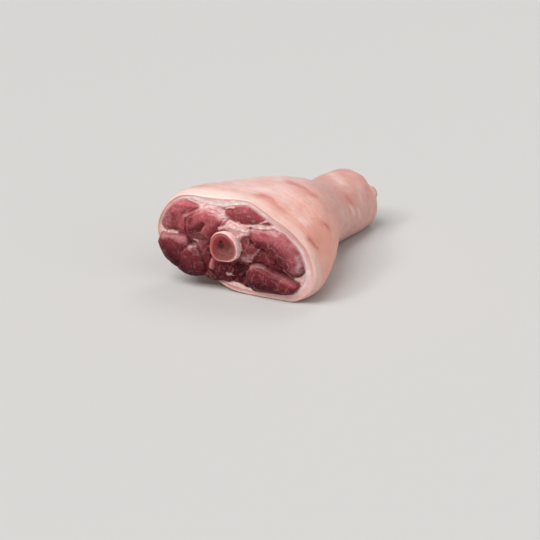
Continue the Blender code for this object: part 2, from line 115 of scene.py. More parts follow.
# The muscles at the cut: height above the face, how broadly the edge is rounded, how light the
# flesh is (-1 to 1; partly its own tone, partly painted shade that darkens the lower muscles),
# how much silvery film and painted sheen cover the upper edge, how fatty it is, the outline
EDGE_DEPTH = 1.6  # a muscle's rounding starts this far behind the face
MUSCLE_SPREAD = 0.5  # the muscles press into each other by this much
MUSCLES = {
    "upper_left": (3.2, 4.0, 0.17, 0.15, 0.0, (
        (-69, 10), (-69.5, 20), (-67, 29), (-59.5, 34.6), (-47, 35.4), (-37, 33), (-31.6, 31), (-36, 28.5),
        (-42, 25), (-46.2, 22), (-45.8, 17), (-45.9, 12), (-46, 6), (-54, 6), (-63, 5.5))),
    "dome": (7.0, 9.0, 0.30, 0.2, 0.0, (
        (-44.6, 20), (-43.4, 23.2), (-38.5, 26.5), (-34, 29.2), (-29.5, 31.7), (-24.5, 33.3),
        (-19.5, 33.2), (-14.5, 31.7), (-10.5, 29.6), (-7.7, 27), (-6, 23.5), (-7.5, 20), (-12, 16.5),
        (-15.6, 14), (-18.2, 10), (-20.5, 6.5), (-22, 3), (-25, 3.5), (-28, 6), (-32, 8), (-36, 7),
        (-40, 6.3), (-44, 7), (-45.3, 13))),
    "strip": (0.8, 3.0, -0.10, 0.25, 0.04, (
        (-43.2, 1.6), (-41.6, 5), (-36.3, 7.3), (-30.5, 8.2), (-27, 6), (-24.6, 2.6), (-31, 0.8),
        (-35, -0.8), (-38.5, -1.5), (-41, -1))),
    "lower_left": (6.2, 8.0, -0.40, 0.3, 0.0, (
        (-72.3, -2.5), (-71, 0.7), (-68, 3), (-63, 4.2), (-58, 4), (-52.5, 3), (-48.3, 1.8),
        (-45.2, -0.3), (-43.3, -3.2), (-43.6, -6), (-46.3, -9.2), (-49.5, -13), (-51, -18.5),
        (-52.8, -26), (-55.5, -25.7), (-60.3, -22.6), (-65.4, -17.9), (-69.2, -12.5), (-71.6, -7))),
    "bottom_left": (6.4, 6.0, -0.56, 0.3, 0.0, (
        (-50.2, -14.3), (-46.3, -9.6), (-41.5, -5.7), (-38.8, -4.6), (-36.8, -6.3), (-33.5, -9),
        (-31, -12.5), (-29, -17), (-26.8, -20.5), (-25.8, -25), (-26.5, -29.7), (-30.5, -31),
        (-36.5, -32.5), (-43, -31.6), (-49.5, -29.6), (-52.6, -26.5), (-51, -19))),
    "beside_bone": (4.2, 4.0, -0.55, 0.2, 0.0, (
        (-36.3, -4.3), (-34.6, -1.2), (-31, 0.3), (-25.8, 2), (-22.2, 2.2), (-21.8, -4), (-20.6, -13),
        (-22, -17.5), (-22.8, -22), (-21.5, -25.5), (-17.2, -29.3), (-14.5, -33), (-19.7, -33),
        (-25.3, -30.8), (-25.1, -24), (-26.3, -20), (-28.5, -16.8), (-30.6, -12.2), (-33.3, -8.4))),
    "knob": (4.8, 2.6, 0.62, 0.3, 0.12, (
        (-19.8, -14), (-17.8, -16.5), (-17.6, -20.5), (-18.6, -23.5), (-21, -24.3), (-22.6, -22.5),
        (-22, -19), (-20.8, -16))),
    "below_bone": (2.4, 3.5, -0.84, 0.1, 0.0, (
        (-17.5, -15), (-10, -16), (0, -16.5), (0.4, -22), (0.3, -28), (-1, -32), (-9, -33.5),
        (-14, -33), (-17, -29.3), (-19.8, -25.3), (-17.8, -23), (-17.2, -20))),
    "recess": (-2.2, 2.5, -0.95, 0.0, 0.0, (
        (0, -17), (4.7, -14.5), (10, -14.5), (14, -17), (13.2, -21), (12.8, -26), (15, -32), (16.5, -35.5),
        (10, -34), (5, -32.5), (-0.5, -31.5), (-1, -24))),
    "lower_right": (4.8, 5.0, -0.58, 0.2, 0.0, (
        (13.5, -21), (15.6, -16.8), (20.8, -13.9), (28.5, -14.9), (35, -17.1), (42.2, -19.3),
        (50.5, -20.4), (58.3, -22.9), (62, -25), (62.8, -28.5), (61, -33), (57, -36.8), (50, -38.8),
        (42, -38.8), (33, -38.2), (25, -38.4), (19.5, -36.8), (15.3, -33), (12.9, -29), (12.5, -25))),
    "wedge": (-1.6, 2.0, -0.50, 0.1, 0.0, (
        (25.5, 1), (30.3, -0.4), (34, -2.6), (37.5, -6), (40.5, -9), (44.6, -13), (49.3, -16.2),
        (53, -18.8), (47, -18.2), (42, -18), (35, -15.8), (28.5, -13.5), (21, -12.6), (17.5, -12.3),
        (18.7, -8.5), (20.8, -4.3))),
    "big_right": (5.0, 6.0, -0.08, 0.3, 0.0, (
        (14.6, 12), (15.5, 15.3), (18, 18), (24, 20), (30, 20.7), (36, 20.1), (42, 18.6), (48, 16.5),
        (54, 13.6), (59.2, 10), (62.8, 5.3), (65.2, 1), (66.9, -3.5), (67.3, -8), (66, -12.5),
        (63, -16.7), (58, -19), (53, -17.9), (48.5, -15), (44.6, -12), (40.4, -8), (37, -4.7),
        (33.5, -1.3), (30, 0.8), (25.5, 2.2), (21, 4.2), (17.5, 6.2), (15, 9))),
    "upper_mid": (1.6, 3.5, 0.17, 0.1, 0.0, (
        (-8.3, 29.5), (-6, 32), (-2, 34), (1.8, 36.4), (6, 38), (11, 38.8), (16.5, 38.2),
        (21.2, 36.4), (26.5, 33.2), (31, 29.8), (34.6, 26.4), (36.4, 24), (34, 22.8), (28, 22), (22, 21.7),
        (16, 20.9), (11, 20.2), (6, 20.8), (0.6, 22.8), (-3.5, 24.4), (-6.8, 26.8))),
    "fat_patch": (3.4, 4.0, 1.0, 0.3, 0.84, (
        (-13, 12.5), (-9, 17), (-5, 22.5), (0, 21.5), (6, 19.8), (12, 19), (14.6, 15.5), (13, 11.5),
        (9, 10.8), (3, 12), (-4, 13.5))),
    "lens": (0.9, 2.2, -0.22, 0.2, 0.0, (
        (8.5, 9.5), (6, 7), (6, 4.5), (8, 1.5), (9, -2), (9.6, -4.5), (11.5, -2), (13.2, 2), (14, 6),
        (13, 9.5), (11, 10.5))),
    "tissue": (0.5, 3.0, -0.22, 0.2, 0.0, (
        (13.5, 1.5), (17, 3.8), (21, 3), (23.5, 1.2), (21, -2.5), (19, -6), (17, -10.5), (15.4, -12.3),
        (10.5, -11.5), (6, -10), (4, -7), (7, -3), (10, -1))),
    "veil": (-0.3, 2.0, 0.25, 0.2, 0.30, (
        (-21, 34.6), (-14, 37), (-6, 38.6), (2, 38.8), (7, 39), (2.5, 36.8), (-2.5, 34.6), (-7, 32.8),
        (-10, 31), (-15, 33.4))),
}
# Fat, tendon and fascia between and on the muscles: height above the face, half width,
# whiteness, and the curve it follows
FASCIA = (
    (1.6, 1.7, 0.80, ((3, 20.2), (8.5, 19.6), (14.5, 20), (20, 20.6), (27, 21.1), (32.5, 21.6),
                      (37, 22.6))),
    (0.6, 2.4, 0.70, ((37, 23), (43, 20.5), (49, 17.8))),
    (3.8, 1.8, 0.75, ((-12, 15), (-8.4, 16.2), (-4, 16.4), (1, 16))),
    (4.7, 2.0, 0.95, ((-6, 14.2), (-2, 13.4), (1.4, 11.6), (4, 8.8))),
    (3.8, 1.6, 0.85, ((1, 14.8), (5, 13.6), (8, 11.6))),
    (0.8, 1.4, 0.03, ((13.8, 8), (13.8, 4.5), (12.6, 1), (10.6, -2.6))),
    (3.2, 1.6, 0.72, ((-3, 18.6), (2, 18), (8, 17))),
    (1.4, 1.0, 0.60, ((-3.6, -25.8), (-1.6, -25.2))),
    (0.5, 0.6, 0.25, ((-0.8, -23.2), (-0.2, -20))),
    (1.0, 0.5, 0.45, ((-0.8, -26.8), (0.2, -27.2))),
    (1.3, 0.45, 0.45, ((-5.4, -24.6), (-4.8, -24.2))),
    (0.8, 1.5, 0.12, ((9, -10), (12.5, -11.6), (16, -12))),
    (0.7, 0.8, 0.22, ((16, -12), (17.6, -8.5), (19.6, -5), (22.4, -1.4))),
    (1.0, 0.5, 0.60, ((22.6, -0.6), (23.6, 0.6))),
    (1.0, 0.6, 0.5, ((46, -14.4), (51, -18), (55, -20))),
    (1.3, 1.0, 0.85, ((-62, 5.2), (-58, 5.8), (-54.5, 5.0))),
    (2.4, 0.9, 0.8, ((-6.5, 33.6), (-3, 34.4), (0, 34.6))),
    (2.4, 0.6, 0.8, ((24.5, 24.0), (26.8, 25.0), (29.4, 26.6), (32.3, 27.6))),
    (3.6, 1.8, 0.05, ((-47.4, 21.2), (-45.6, 21.4), (-43.8, 22.6))),
    (1.0, 0.4, 0.4, ((-43.3, 3.4), (-41.3, -1.8), (-37.2, -4.5))),
    (1.2, 1.2, 0.6, ((58, -20.4), (61.5, -20.8), (64, -19.6))),
)
# Pale film and fat that show through the flesh, and painted highlights and glints: strength, half width,
# curve
FILM_AND_HIGHLIGHT_WASHES = (
    # The dome's pale top: film with a painted highlight
    (1.0, 2.8, ((-30, 31.4), (-25.5, 32.2), (-21, 32.2), (-16, 30.8), (-11, 28), (-7.5, 24.5))),
    (0.50, 1.2, ((-21, 27), (-16, 27), (-11.5, 25.5))),
    (0.30, 1.3, ((-31.5, 30), (-34, 27.5))),
    (0.22, 1.6, ((-47.6, 20.6), (-46, 21.2), (-44, 22.2))),
    (0.40, 1.0, ((-62, 5.2), (-58, 5.6), (-54, 4.6))),
    (0.18, 5.0, ((-67, 9), (-67, 16), (-65, 24))),
    (0.20, 2.6, ((-66.5, 0.5), (-60.5, 2.6), (-53.5, 2), (-45.5, -0.8))),
    (0.65, 1.7, ((-41, -6.5), (-38, -4.8), (-36.5, -5))),
    (0.35, 0.9, ((-37, 6.8), (-33, 7.4), (-29.5, 7.2))),
    # A painted glint
    (0.80, 0.8, ((-38, 0.4), (-35.6, 0.2), (-33.6, -0.4))),
    (0.12, 2.0, ((-35, -2.5), (-30.5, -3))),
    (0.60, 2.6, ((-10, 14.5), (-4, 15.6), (2, 14.6))),
    (0.95, 2.4, ((5, 13.5), (9, 13.8))),
    (0.35, 1.6, ((-5, 17.4), (-1, 18.6), (5, 17.6))),
    (1.0, 2.0, ((-5, 14.2), (-1, 13.2), (2.4, 11), (4.6, 8.6))),
    (0.50, 2.2, ((17, 17.6), (25.5, 19.4), (33.5, 18.8), (40.5, 17))),
    (0.10, 4.0, ((36, 14), (46, 12.5), (54, 8), (59, 2))),
    (0.46, 3.0, ((60.5, 0), (62.3, -5), (61.6, -11.5))),
    (0.16, 2.4, ((56, -13), (60, -14))),
    (0.32, 1.2, ((17, -15.8), (21, -14.2), (26, -14.4), (29.5, -15.2))),
    (0.12, 1.2, ((33, -17), (42, -20), (52, -22))),
    (0.26, 2.4, ((8, -9.5), (12, -9.5), (14.5, -8), (17, -7))),
    (0.45, 1.0, ((13.4, -11.6), (16, -12.2))),
    (0.16, 0.8, ((13.3, 9.5), (14, 6.2), (13.2, 2.4), (10.5, -2.8))),
    (0.28, 0.7, ((11.6, -22), (12.0, -24))),
    (0.22, 0.6, ((12.4, -27), (13.2, -29.5))),
    (0.12, 0.9, ((29.5, -6), (32.5, -10.5))),
    (0.18, 0.6, ((31.5, 12.5), (33.5, 9), (34, 5))),
    (0.22, 0.6, ((47, 11), (48.5, 7), (47.5, 4))),
    (0.14, 0.7, ((41, -0.5), (44, -1), (47, -3))),
    (0.18, 0.6, ((51.5, -6), (53, -9), (52, -12.5))),
    (0.14, 0.5, ((37.5, -24), (41.5, -25.5), (43.5, -28.5))),
    (0.10, 0.5, ((25.5, -21), (29, -23), (30, -25))),
    # Painted glints on the upper middle muscle
    (0.40, 0.5, ((9, 33), (11.5, 32.7))),
    (0.40, 0.5, ((13, 29), (15.5, 28.7))),
    (0.40, 0.5, ((17, 25.4), (19, 25))),
)
# Lighter and darker flesh, partly its own tone and partly painted light and shade: change, half width,
# curve
FLESH_TONE_LIGHT_AND_SHADE = (
    # Painted shade in the dome's hollow
    (-0.66, 2.8, ((-28, 17), (-31.5, 13.6), (-35.5, 11.2), (-39.5, 9.6))),
    (0.50, 1.3, ((-24.2, 17), (-27, 12.6), (-29.6, 9.2))),
    (0.35, 3.0, ((-50, 16), (-49.5, 11), (-50, 8))),
    (0.55, 1.8, ((-48, 20.6), (-45.6, 21.6), (-43.6, 22.6))),
    (-0.45, 2.6, ((-38.5, 22), (-40, 17))),
    (0.35, 4.0, ((-30, 28), (-22, 29), (-14, 27))),
    (0.30, 3.0, ((-12, 21), (-9, 24))),
    (0.30, 4.0, ((-57, 28), (-53.5, 30.5), (-48, 32.5))),
    (-0.40, 2.4, ((-57.5, 20.5), (-56, 18))),
    # Painted light on the lower left muscle's top, painted shade on its lower part
    (0.45, 2.8, ((-66.5, 0.5), (-60.5, 2.6), (-53.5, 2), (-45.5, -1))),
    (-0.40, 5.0, ((-65, -10), (-58, -17.5), (-52.5, -22.5))),
    (0.60, 2.0, ((-41, -6.5), (-38, -5), (-36.5, -5.5))),
    (-0.25, 3.5, ((-48, -27), (-38, -30.5), (-30, -28.5))),
    (0.22, 2.6, ((-35, -2.5), (-30.5, -3), (-26, -2))),
    (0.30, 3.0, ((18, -16), (24, -16), (32, -18), (44, -21.5), (56, -25))),
    (0.36, 3.6, ((46, -24), (54, -25), (60, -27))),
    (-0.35, 4.0, ((18, -32), (26, -33), (36, -33))),
    (0.28, 5.0, ((22, 14), (34, 13.5), (46, 10), (54, 2), (56, -8))),
    (-0.46, 3.4, ((24, 7), (34, 4.5), (42, -2), (50, -10))),
    (0.32, 3.2, ((29, -5), (35, -11))),
    (0.30, 2.0, ((-12, -29), (-7, -30.5))),
    (0.35, 1.6, ((-15.5, -19), (-14, -23))),
    (0.40, 3.5, ((1, -29.5), (6, -30), (12, -31))),
    (0.25, 2.0, ((1, -19), (1.5, -25))),
    (-0.40, 3.0, ((7, -18), (7, -24))),
)
# Grooves: depth, half width, curve; the deeper ones also get painted shade
GROOVES = (
    (1.7, 0.7, ((-44.6, 19), (-45.1, 13), (-45.9, 8), (-45.9, 5))),
    (1.9, 0.9, ((-25.8, 17.2), (-28.6, 13.0), (-31.2, 10), (-34.5, 8.6))),
    (0.5, 2.4, ((-28, 16.4), (-31.5, 13), (-35.5, 10.8))),
    (1.0, 0.8, ((-47.5, 22), (-42, 25.2), (-37, 27.7), (-31.5, 31))),
    (0.5, 1.3, ((-52.3, 15), (-54.4, 11), (-54.7, 7))),
    (3.6, 1.4, ((-43.6, 0.5), (-42, -2.4), (-40.3, -3.8), (-38, -4.4))),
    (0.9, 0.6, ((-37, -6.3), (-33.6, -8.8), (-31, -12.4), (-28.8, -17))),
    (3.0, 0.8, ((-28.8, -17), (-26.6, -20.3), (-25.5, -24), (-25.8, -27))),
    (2.3, 0.6, ((-22, -23.8), (-20.2, -26), (-17, -29.4), (-14.4, -33))),
    (0.8, 0.6, ((-15, -19.5), (-11, -17.8), (-7, -18.3), (-5, -21), (-7, -24.6), (-10.5, -24.4))),
    (0.7, 0.6, ((-14.5, -23.5), (-11.5, -26.6), (-7.5, -27.6))),
    (2.6, 1.0, ((14.2, 9.8), (16.6, 6.1), (19.6, 3.6), (23.2, 2))),
    (2.6, 0.9, ((25.5, 1.7), (30.3, 0), (34, -2.2), (37.5, -5.6), (42, -10), (47, -14.4), (52, -18))),
    (2.6, 0.9, ((15, -14.5), (18, -13), (24, -13.2), (31, -14.9), (38, -17.6), (44, -18.6), (50, -19.6),
                (56, -21.6), (61.5, -24))),
    (2.0, 0.5, ((44, 18), (51.5, 15), (57, 12.1), (61.5, 8.4), (64.3, 3.4), (66.8, -3), (67.4, -8.5),
                (66, -13), (62.5, -17.6))),
    (2.4, 0.6, ((15.4, 18.2), (16, 18.8))),
    (1.2, 0.7, ((0, -17.5), (-0.2, -23), (0.5, -28.5))),
    (0.9, 0.6, ((-30, 0.6), (-26, 2.3), (-23, 3))),
)

# Places on the skin: strength, width, and (angle in degrees, distance along) points
RED_PATCHES = (
    (0.75, 6.0, ((75, 21), (62, 20), (49, 17))),
    (0.85, 6.5, ((84, 72), (68, 70), (50, 71))),
    (1.0, 4.2, ((11, 12), (8, 13))),
    (0.40, 6.0, ((7, 14),)),
    (0.70, 3.2, ((19, 49), (12, 56))),
    (0.35, 1.0, ((10, 26), (5, 28))),
    (0.75, 5.0, ((33, 150), (29, 152))),
    (0.25, 9.0, ((34, 76), (22, 87), (7, 109))),
    (0.30, 3.0, ((-8, 131), (-16, 117))),
    (0.30, 3.0, ((-19, 154), (-26, 142))),
    (0.30, 7.0, ((55, 198), (38, 196))),
)
PALE_PATCHES = (
    (0.80, 4.5, ((29, 24), (26, 27))),
    (0.55, 3.0, ((20, 148), (7, 152))),
    (0.60, 2.5, ((8, 163), (-6, 166))),
    (0.50, 6.0, ((109, 182), (72, 167))),
    (0.35, 7.0, ((43, 185), (20, 176))),
)
DARK_NICKS = (
    (0.7, 0.7, ((17, 53), (12, 56))),
    (0.3, 0.6, ((28, 39), (26, 41))),
    (0.8, 0.8, ((5, 16.6), (3.8, 18.2))),
    (0.2, 0.9, ((25, 118), (20, 122))),
)
CREASES = (  # depth, half width, points
    (0.9, 2.2, ((25, 73), (14, 80), (3, 79), (-2, 72))),
    (0.9, 2.0, ((-8, 131), (-16, 117))),
    (0.9, 2.0, ((-19, 154), (-26, 142))),
)

# How the flesh is shaped and shaded round its listed values
SHADE_SPAN = 0.3  # painted light and shade: each muscle is paler by this at its top and darker at its foot
FILM_AND_SHEEN_SIDE = np.array((0.17, 0.985))  # the way the edges with the most film and painted sheen face
FILM_AND_SHEEN_REACH = 0.26  # a film and its painted sheen fade over this share of the edge's rounding
SHOULDER_HEIGHT = 0.75  # share of a muscle's height in its edge; its belly has the rest
BELLY_REACH = 2.2  # the belly rises over this many roundings
PRESS = 0.60  # how softly the height passes from one muscle to the next
SEAM_DEPTH = 0.40  # of the line where two muscles touch
SEAM_HALF_WIDTH = 0.5
FAT_LEVEL = -0.1  # height of the fat between the muscles
FAT_SHADE = -0.2
FASCIA_FALL = 0.9  # how steeply a ridge of fascia falls to its sides
FASCIA_BLEND = 0.8  # and how softly it meets the flesh
STROKE_REACH = 3.5  # half widths over which a stroke fades
GROOVE_DEPTH = 0.75  # a groove's depth and half width, as shares of what is listed
GROOVE_SPREAD = 1.25
DARK_DEPTH = 2.6  # a groove this deep gets painted shade, at most by DARKEST
DARKEST = 0.80
SEAM_DARK = 0.20
CLOSING = 1.8  # notches narrower than twice this close at the loose edge
LOOSE_START = 0.5  # the loose edge lies beyond this share of the way to the rim
SOFTENING = 3  # passes that even out the face
FLUSH_HEIGHT = 0.2  # beside the fat the flesh stands no higher than this
EDGE_LEVEL = 0.05  # its height where it meets the fat
DEEPEST = 3.1  # how far it may drop at the loose edge
WALL_START = 1.5  # the wall in the fat starts this far behind the face
COLLAR_WIDTH = 1.6  # of the bits of fat round the bone
# Cut tendons and flesh at the hock: across, up from the section's middle, radius, rise, whiteness
TENDONS = (
    (0.0, 17.0, 5.5, 1.6, 0.9),
    (11.0, 13.0, 3.5, 1.0, 0.7),
    (-12.0, 12.0, 3.5, 1.2, 0.8),
    (16.0, -2.0, 4.0, 0.8, 0.4),
    (-17.0, -1.0, 4.0, 0.8, 0.5),
    (9.0, 20.0, 3.0, 0.8, 0.6),
)
# Holes in the marrow at the cut: across, up from the bone's middle, radius, depth, darkness (partly the
# hole's colour, partly painted shade in it)
MARROW_HOLES = (
    (-3.4, 3.4, 1.5, 1.4, 1.0),
    (-2.8, 0.8, 4.2, 0.5, 0.80),
    (2.4, 1.2, 4.8, 0.2, 0.42),
    (4.4, 2.4, 0.5, 0.5, 0.8),
    (3.6, -1.2, 0.5, 0.5, 0.8),
    (5.2, -0.6, 0.35, 0.3, 0.7),
    (1.8, 4.6, 0.35, 0.3, 0.6),
)

# Unevenness: height, size of its lumps, seed
SKIN_LUMPS = ((0.55, 24.0, 1), (0.22, 9.0, 2), (0.10, (12.0, 2.4, 12.0), 3))
BAND_LUMPS = ((0.12, 3.0, 6), (0.08, 1.3, 7))
FLESH_LUMPS = ((0.60, 6.0, 11), (0.36, 2.8, 12), (0.16, 1.3, 13))
HOCK_LUMPS = ((0.5, 5.0, 15), (0.2, 2.0, 16))
BONE_LUMPS = ((0.16, 4.0, 21), (0.10, 1.6, 22))
MARROW_LUMPS = ((0.14, 2.6, 31), (0.08, 1.0, 32))
RAGGED = 0.8  # unevenness of the rind's end at the hock
FAT_LUMPS = 0.7  # and of fat on the cut face
# Broad tints of the skin: strength, middle angle and half width in degrees, and where along the
# leg they come and go
# Painted light and sheen along the skin's top
TOP_SHEEN = (0.7, 104.0, 62.0, (8.0, 34.0), (120.0, 80.0))
# Warmer and deeper on the lower right side, partly the skin's peach tone, partly painted shade
WARM = (0.62, -15.0, 80.0, (4.0, 20.0), (125.0, 85.0))
DUSK = (0.36, (60.0, 125.0))  # all round: strength, where it comes
CREAM = (0.35, 110.0, 75.0, (17.0, 5.0))  # at the cut: least strength, middle, half width, where
# Blushes of the fat at the cut, the one underneath partly painted shade: strength, middle angle and half
# width in degrees
BLUSHES_AND_UNDERSIDE_SHADE = ((0.85, 12.0, 60.0), (0.5, -45.0, 40.0), (1.2, 262.0, 50.0), (0.6, 165.0, 55.0))
# A flap of rind at the hock, how far it stands out, and the dent beside it with its share of that:
# angle and half width in degrees
FLAP = (24.0, 13.0)
FLAP_OUT = 2.6
FLAP_DENT = (46.0, 8.0, 0.3)
NECK = (88.0, 32.0)  # where the leg narrows: distance along, half length
CUT_DISH = 0.4  # how deep the cut fat is dished
HOCK_DISH = 0.8  # and the sleeve's end at the hock
RIND_DEPTH = (2.4, 1.5)  # at the cut the rind's colour comes over these depths
# Places where the listed patches leave the skin bare: degrees, distance along
BARE_ANGLES = (150.0, 320.0)
BARE_LENGTHS = (12.0, 195.0)

# How finely the meshes are cut
RIND_SPOKES = 372
MUSCLE_SPOKES = 540
BONE_SPOKES = 160
FACE_STEPS = 124
EDGE_STEPS = 7  # rings round each small rounding
SKIN_RINGS = 174
CUT_RINGS = 24
HOCK_RINGS = 22
BONE_END_STEPS = 9
MARROW_STEPS = 44  # rings over each end of the marrow
OUTLINE_PARTS = 4  # points on a muscle's outline for each corner
LATTICE = 32  # size of the random table behind the noise

# Surfaces: share of the light that goes in, how far red, green and blue go, as parts of a reach in
# metres, strength of reflections, and the wet coat with its roughness
SURFACE = ("Subsurface Weight", "Subsurface Radius", "Subsurface Scale", "Specular IOR Level",
           "Coat Weight", "Coat Roughness")
RIND_SURFACE = (0.35, (1.0, 0.45, 0.30), 0.004, 0.45, 0.20, 0.28)
MEAT_SURFACE = (0.28, (1.0, 0.25, 0.18), 0.0025, 0.14, 0.10, 0.10)
BONE_SURFACE = (0.35, (1.0, 0.5, 0.4), 0.004, 0.5, 0.15, 0.25)
MARROW_SURFACE = (0.25, (1.0, 0.3, 0.2), 0.002, 0.2, 0.06, 0.22)
# Clouds: their size, then detail, roughness and distortion, their range, share and colour
SKIN_CLOUDS = (
    ((14.0, 8.0, 14.0), (4.0,), (0.42, 0.66), 0.55, (214, 148, 136)),
    ((5.0, 3.0, 5.0), (5.0, 0.65), (0.44, 0.66), 0.34, (206, 132, 122)),
    ((14.0, 1.8, 14.0), (3.0, 0.6, 0.6), (0.40, 0.66), 0.28, (240, 208, 198)),
    ((1.6, 1.0, 1.6), (3.0, 0.7), (0.56, 0.72), 0.40, (244, 218, 210)),
)
MARROW_CLOUDS = (
    (2.2, (4.0, 0.65), (0.40, 0.66), 0.6, (98, 40, 44)),
    (0.8, (3.0, 0.6), (0.58, 0.70), 0.45, (190, 130, 118)),
)

# Camera and light, in metres
CAMERA_PLACE = (0.51491, -0.80744, 0.394)
CAMERA_PITCH = math.radians(90.0 - 23.136)
CAMERA_TURN = math.radians(34.0)
CAMERA_LENS = 73.333
CAMERA_SENSOR = 36.0
# Lights: name, where they lie, strength, how widely they spread in degrees, colour
LIGHTS = (
    ("overhead", (-0.25, -0.55, 1.10), 2.2, 45.0, (1.0, 0.99, 0.98)),
    ("front", (-0.45, -0.85, 0.80), 0.60, 12.0, (1.0, 0.99, 0.98)),
    ("side", (0.95, -0.1, 0.7), 0.85, 60.0, (1.0, 0.97, 0.94)),
    ("behind", (-0.1, 0.75, 1.0), 0.45, 25.0, (1.0, 1.0, 1.0)),
)
WORLD_COLOUR = (1.0, 0.97, 0.95, 1.0)
WORLD_STRENGTH = 0.25
FLOOR_COLOUR = (0.56, 0.555, 0.55, 1.0)
FLOOR_REACH = 20.0
FLOOR_LEVEL = -0.0005


def curve_between(before, here, after, beyond, u):
    """A smooth curve from here to after, at u from 0 to 1, by way of its neighbours."""
    return 0.5 * (2 * here + (after - before) * u
                  + (2 * before - 5 * here + 4 * after - beyond) * u**2
                  + (3 * here - before - 3 * after + beyond) * u**3)


def along(rows, at):
    """Smooth values between rows whose first number is a distance, a result row for each distance."""
    table = np.array(rows, dtype=float)
    places, values = table[:, 0], table[:, 1:]
    at = np.clip(np.asarray(at, dtype=float), places[0], places[-1])
    left = np.clip(np.searchsorted(places, at, side="right") - 1, 0, len(places) - 2)
    span = places[left + 1] - places[left]
    u = ((at - places[left]) / span)[..., None]
    slope = np.gradient(values, places, axis=0)
    start = (2 * u**3 - 3 * u**2 + 1) * values[left] + (u**3 - 2 * u**2 + u) * span[..., None] * slope[left]
    end = (3 * u**2 - 2 * u**3) * values[left + 1] + (u**3 - u**2) * span[..., None] * slope[left + 1]
    return start + end


def around(values, turns):
    """Read a smooth closed curve through evenly spaced values, at turns from 0 to 1."""
    values = np.array(values, dtype=float)
    place = (np.asarray(turns, dtype=float) % 1.0) * len(values)
    first = np.floor(place).astype(int)
    u = place - first
    if values.ndim > 1:
        u = u[..., None]
    return curve_between(*(values[(first + step) % len(values)] for step in (-1, 0, 1, 2)), u)


def hump(angles, middle, half_width):
    """1 at the middle angle, falling smoothly to 0 at half_width to each side."""
    apart = np.abs((angles - middle + math.pi) % math.tau - math.pi) / half_width
    return np.cos(np.clip(apart, 0.0, 1.0) * math.pi / 2) ** 2


def ease(value, low, high):
    """0 below low and 1 above high, smooth between; low may be the larger one."""
    u = np.clip((value - low) / (high - low), 0.0, 1.0)
    return u * u * (3.0 - 2.0 * u)


def noise(points, cell, seed):
    """Smooth random values from -1 to 1, with lumps about cell mm across."""
    lattice = np.random.default_rng(SEED * 1000 + seed).uniform(-1.0, 1.0, (LATTICE,) * 3)
    place = points / np.asarray(cell, dtype=float) + LATTICE * 20
    corner = np.floor(place).astype(int)
    u = place - corner
    u = u * u * (3.0 - 2.0 * u)
    total = np.zeros(points.shape[:-1])
    for i in (0, 1):
        for j in (0, 1):
            for k in (0, 1):
                share = (np.abs(1 - i - u[..., 0]) * np.abs(1 - j - u[..., 1]) * np.abs(1 - k - u[..., 2]))
                at = (corner + (i, j, k)) % LATTICE
                total += share * lattice[at[..., 0], at[..., 1], at[..., 2]]
    return total


def flat_noise(place, cell, seed):
    """The same for places on the cut."""
    return noise(np.concatenate((place, np.zeros_like(place[..., :1])), axis=-1), cell, seed)


def lumps(points, rows):
    """Heights from several noises, each row its height, the size of its lumps and its seed."""
    return sum(height * noise(points, cell, seed) for height, cell, seed in rows)


def slant(x, z, y):
    """How far the turned and leaning cut face shifts a point of a section along the shank."""
    share = np.clip(1.0 - y / SLANT_REACH, 0.0, 1.1) ** 1.5
    return share * (math.tan(FACE_TURN) * x + math.tan(FACE_LEAN) * (z - FACE_HEIGHT))


def swell(angles, y):
    """How far the rind stands proud behind the saw cut."""
    height = SWELL_MEAN + SWELL_SPREAD * np.cos(2.0 * (angles - SWELL_ANGLE))
    share = np.clip(y, 0.0, None) / SWELL_PEAK
    return height * share * np.exp(1.0 - share)


def rim_share(y):
    """1 at the cut, where the rim's outline holds, down to 0 where the body's does."""
    return np.clip(1.0 - y / RIM_REACH, 0.0, 1.0) ** 2


def body_fat(angles, y):
    """Thickness of rind and fat together."""
    near_cut = rim_share(y)
    near_hock = np.clip((y - LENGTH / 2) / (LENGTH / 2), 0.0, 1.0)
    behind = BODY_FAT + (HOCK_FAT - BODY_FAT) * near_hock
    return near_cut * around(RIM_FAT, angles / math.tau) + (1.0 - near_cut) * behind + swell(angles, y)


def skin_point(y, angles, depth):
    """Points of cross sections, depth below the skin."""
    y, angles, depth = np.broadcast_arrays(np.asarray(y, dtype=float), angles, depth)
    x_mid, z_mid, half_w, half_h, lean, power = np.moveaxis(along(SECTIONS, y), -1, 0)
    sideways = np.abs(np.cos(angles) - lean * np.sin(angles)) / half_w
    upward = np.abs(np.sin(angles)) / half_h
    body = (sideways**power + upward**power) ** (-1.0 / power)
    near_cut = rim_share(y)
    radius = near_cut * around(RIM_RADII, angles / math.tau) + (1.0 - near_cut) * body
    curl = np.clip((y - LENGTH + CURL_LENGTH) / CURL_LENGTH, 0.0, 1.0)
    radius = radius + swell(angles, y) - CURL_INSET * (1.0 - np.sqrt(1.0 - curl**2)) - depth
    x = x_mid * (1.0 - near_cut) + radius * np.cos(angles)
    z = z_mid * (1.0 - near_cut) + FACE_HEIGHT * near_cut + radius * np.sin(angles)
    above = z - depth
    eased = np.clip(above + FLOOR_EASE, 0.0, None) ** 2 / (4.0 * FLOOR_EASE)
    z = depth + np.where(above > FLOOR_EASE, above, eased)
    return np.stack((x, y + slant(x, z, y), z), axis=-1)


def retreat(angles):
    """1 where the rind has drawn back most from the cut, and the muscles overhang it."""
    return hump(angles, RETREAT_ANGLE, RETREAT_HALF)


def drawn_back(y, angles):
    """Distances of a ring of the rind, moved back where it has left the cut."""
    return y + RETREAT * retreat(angles) * np.clip(1.0 - y / RETREAT_REACH, 0.0, 1.0)


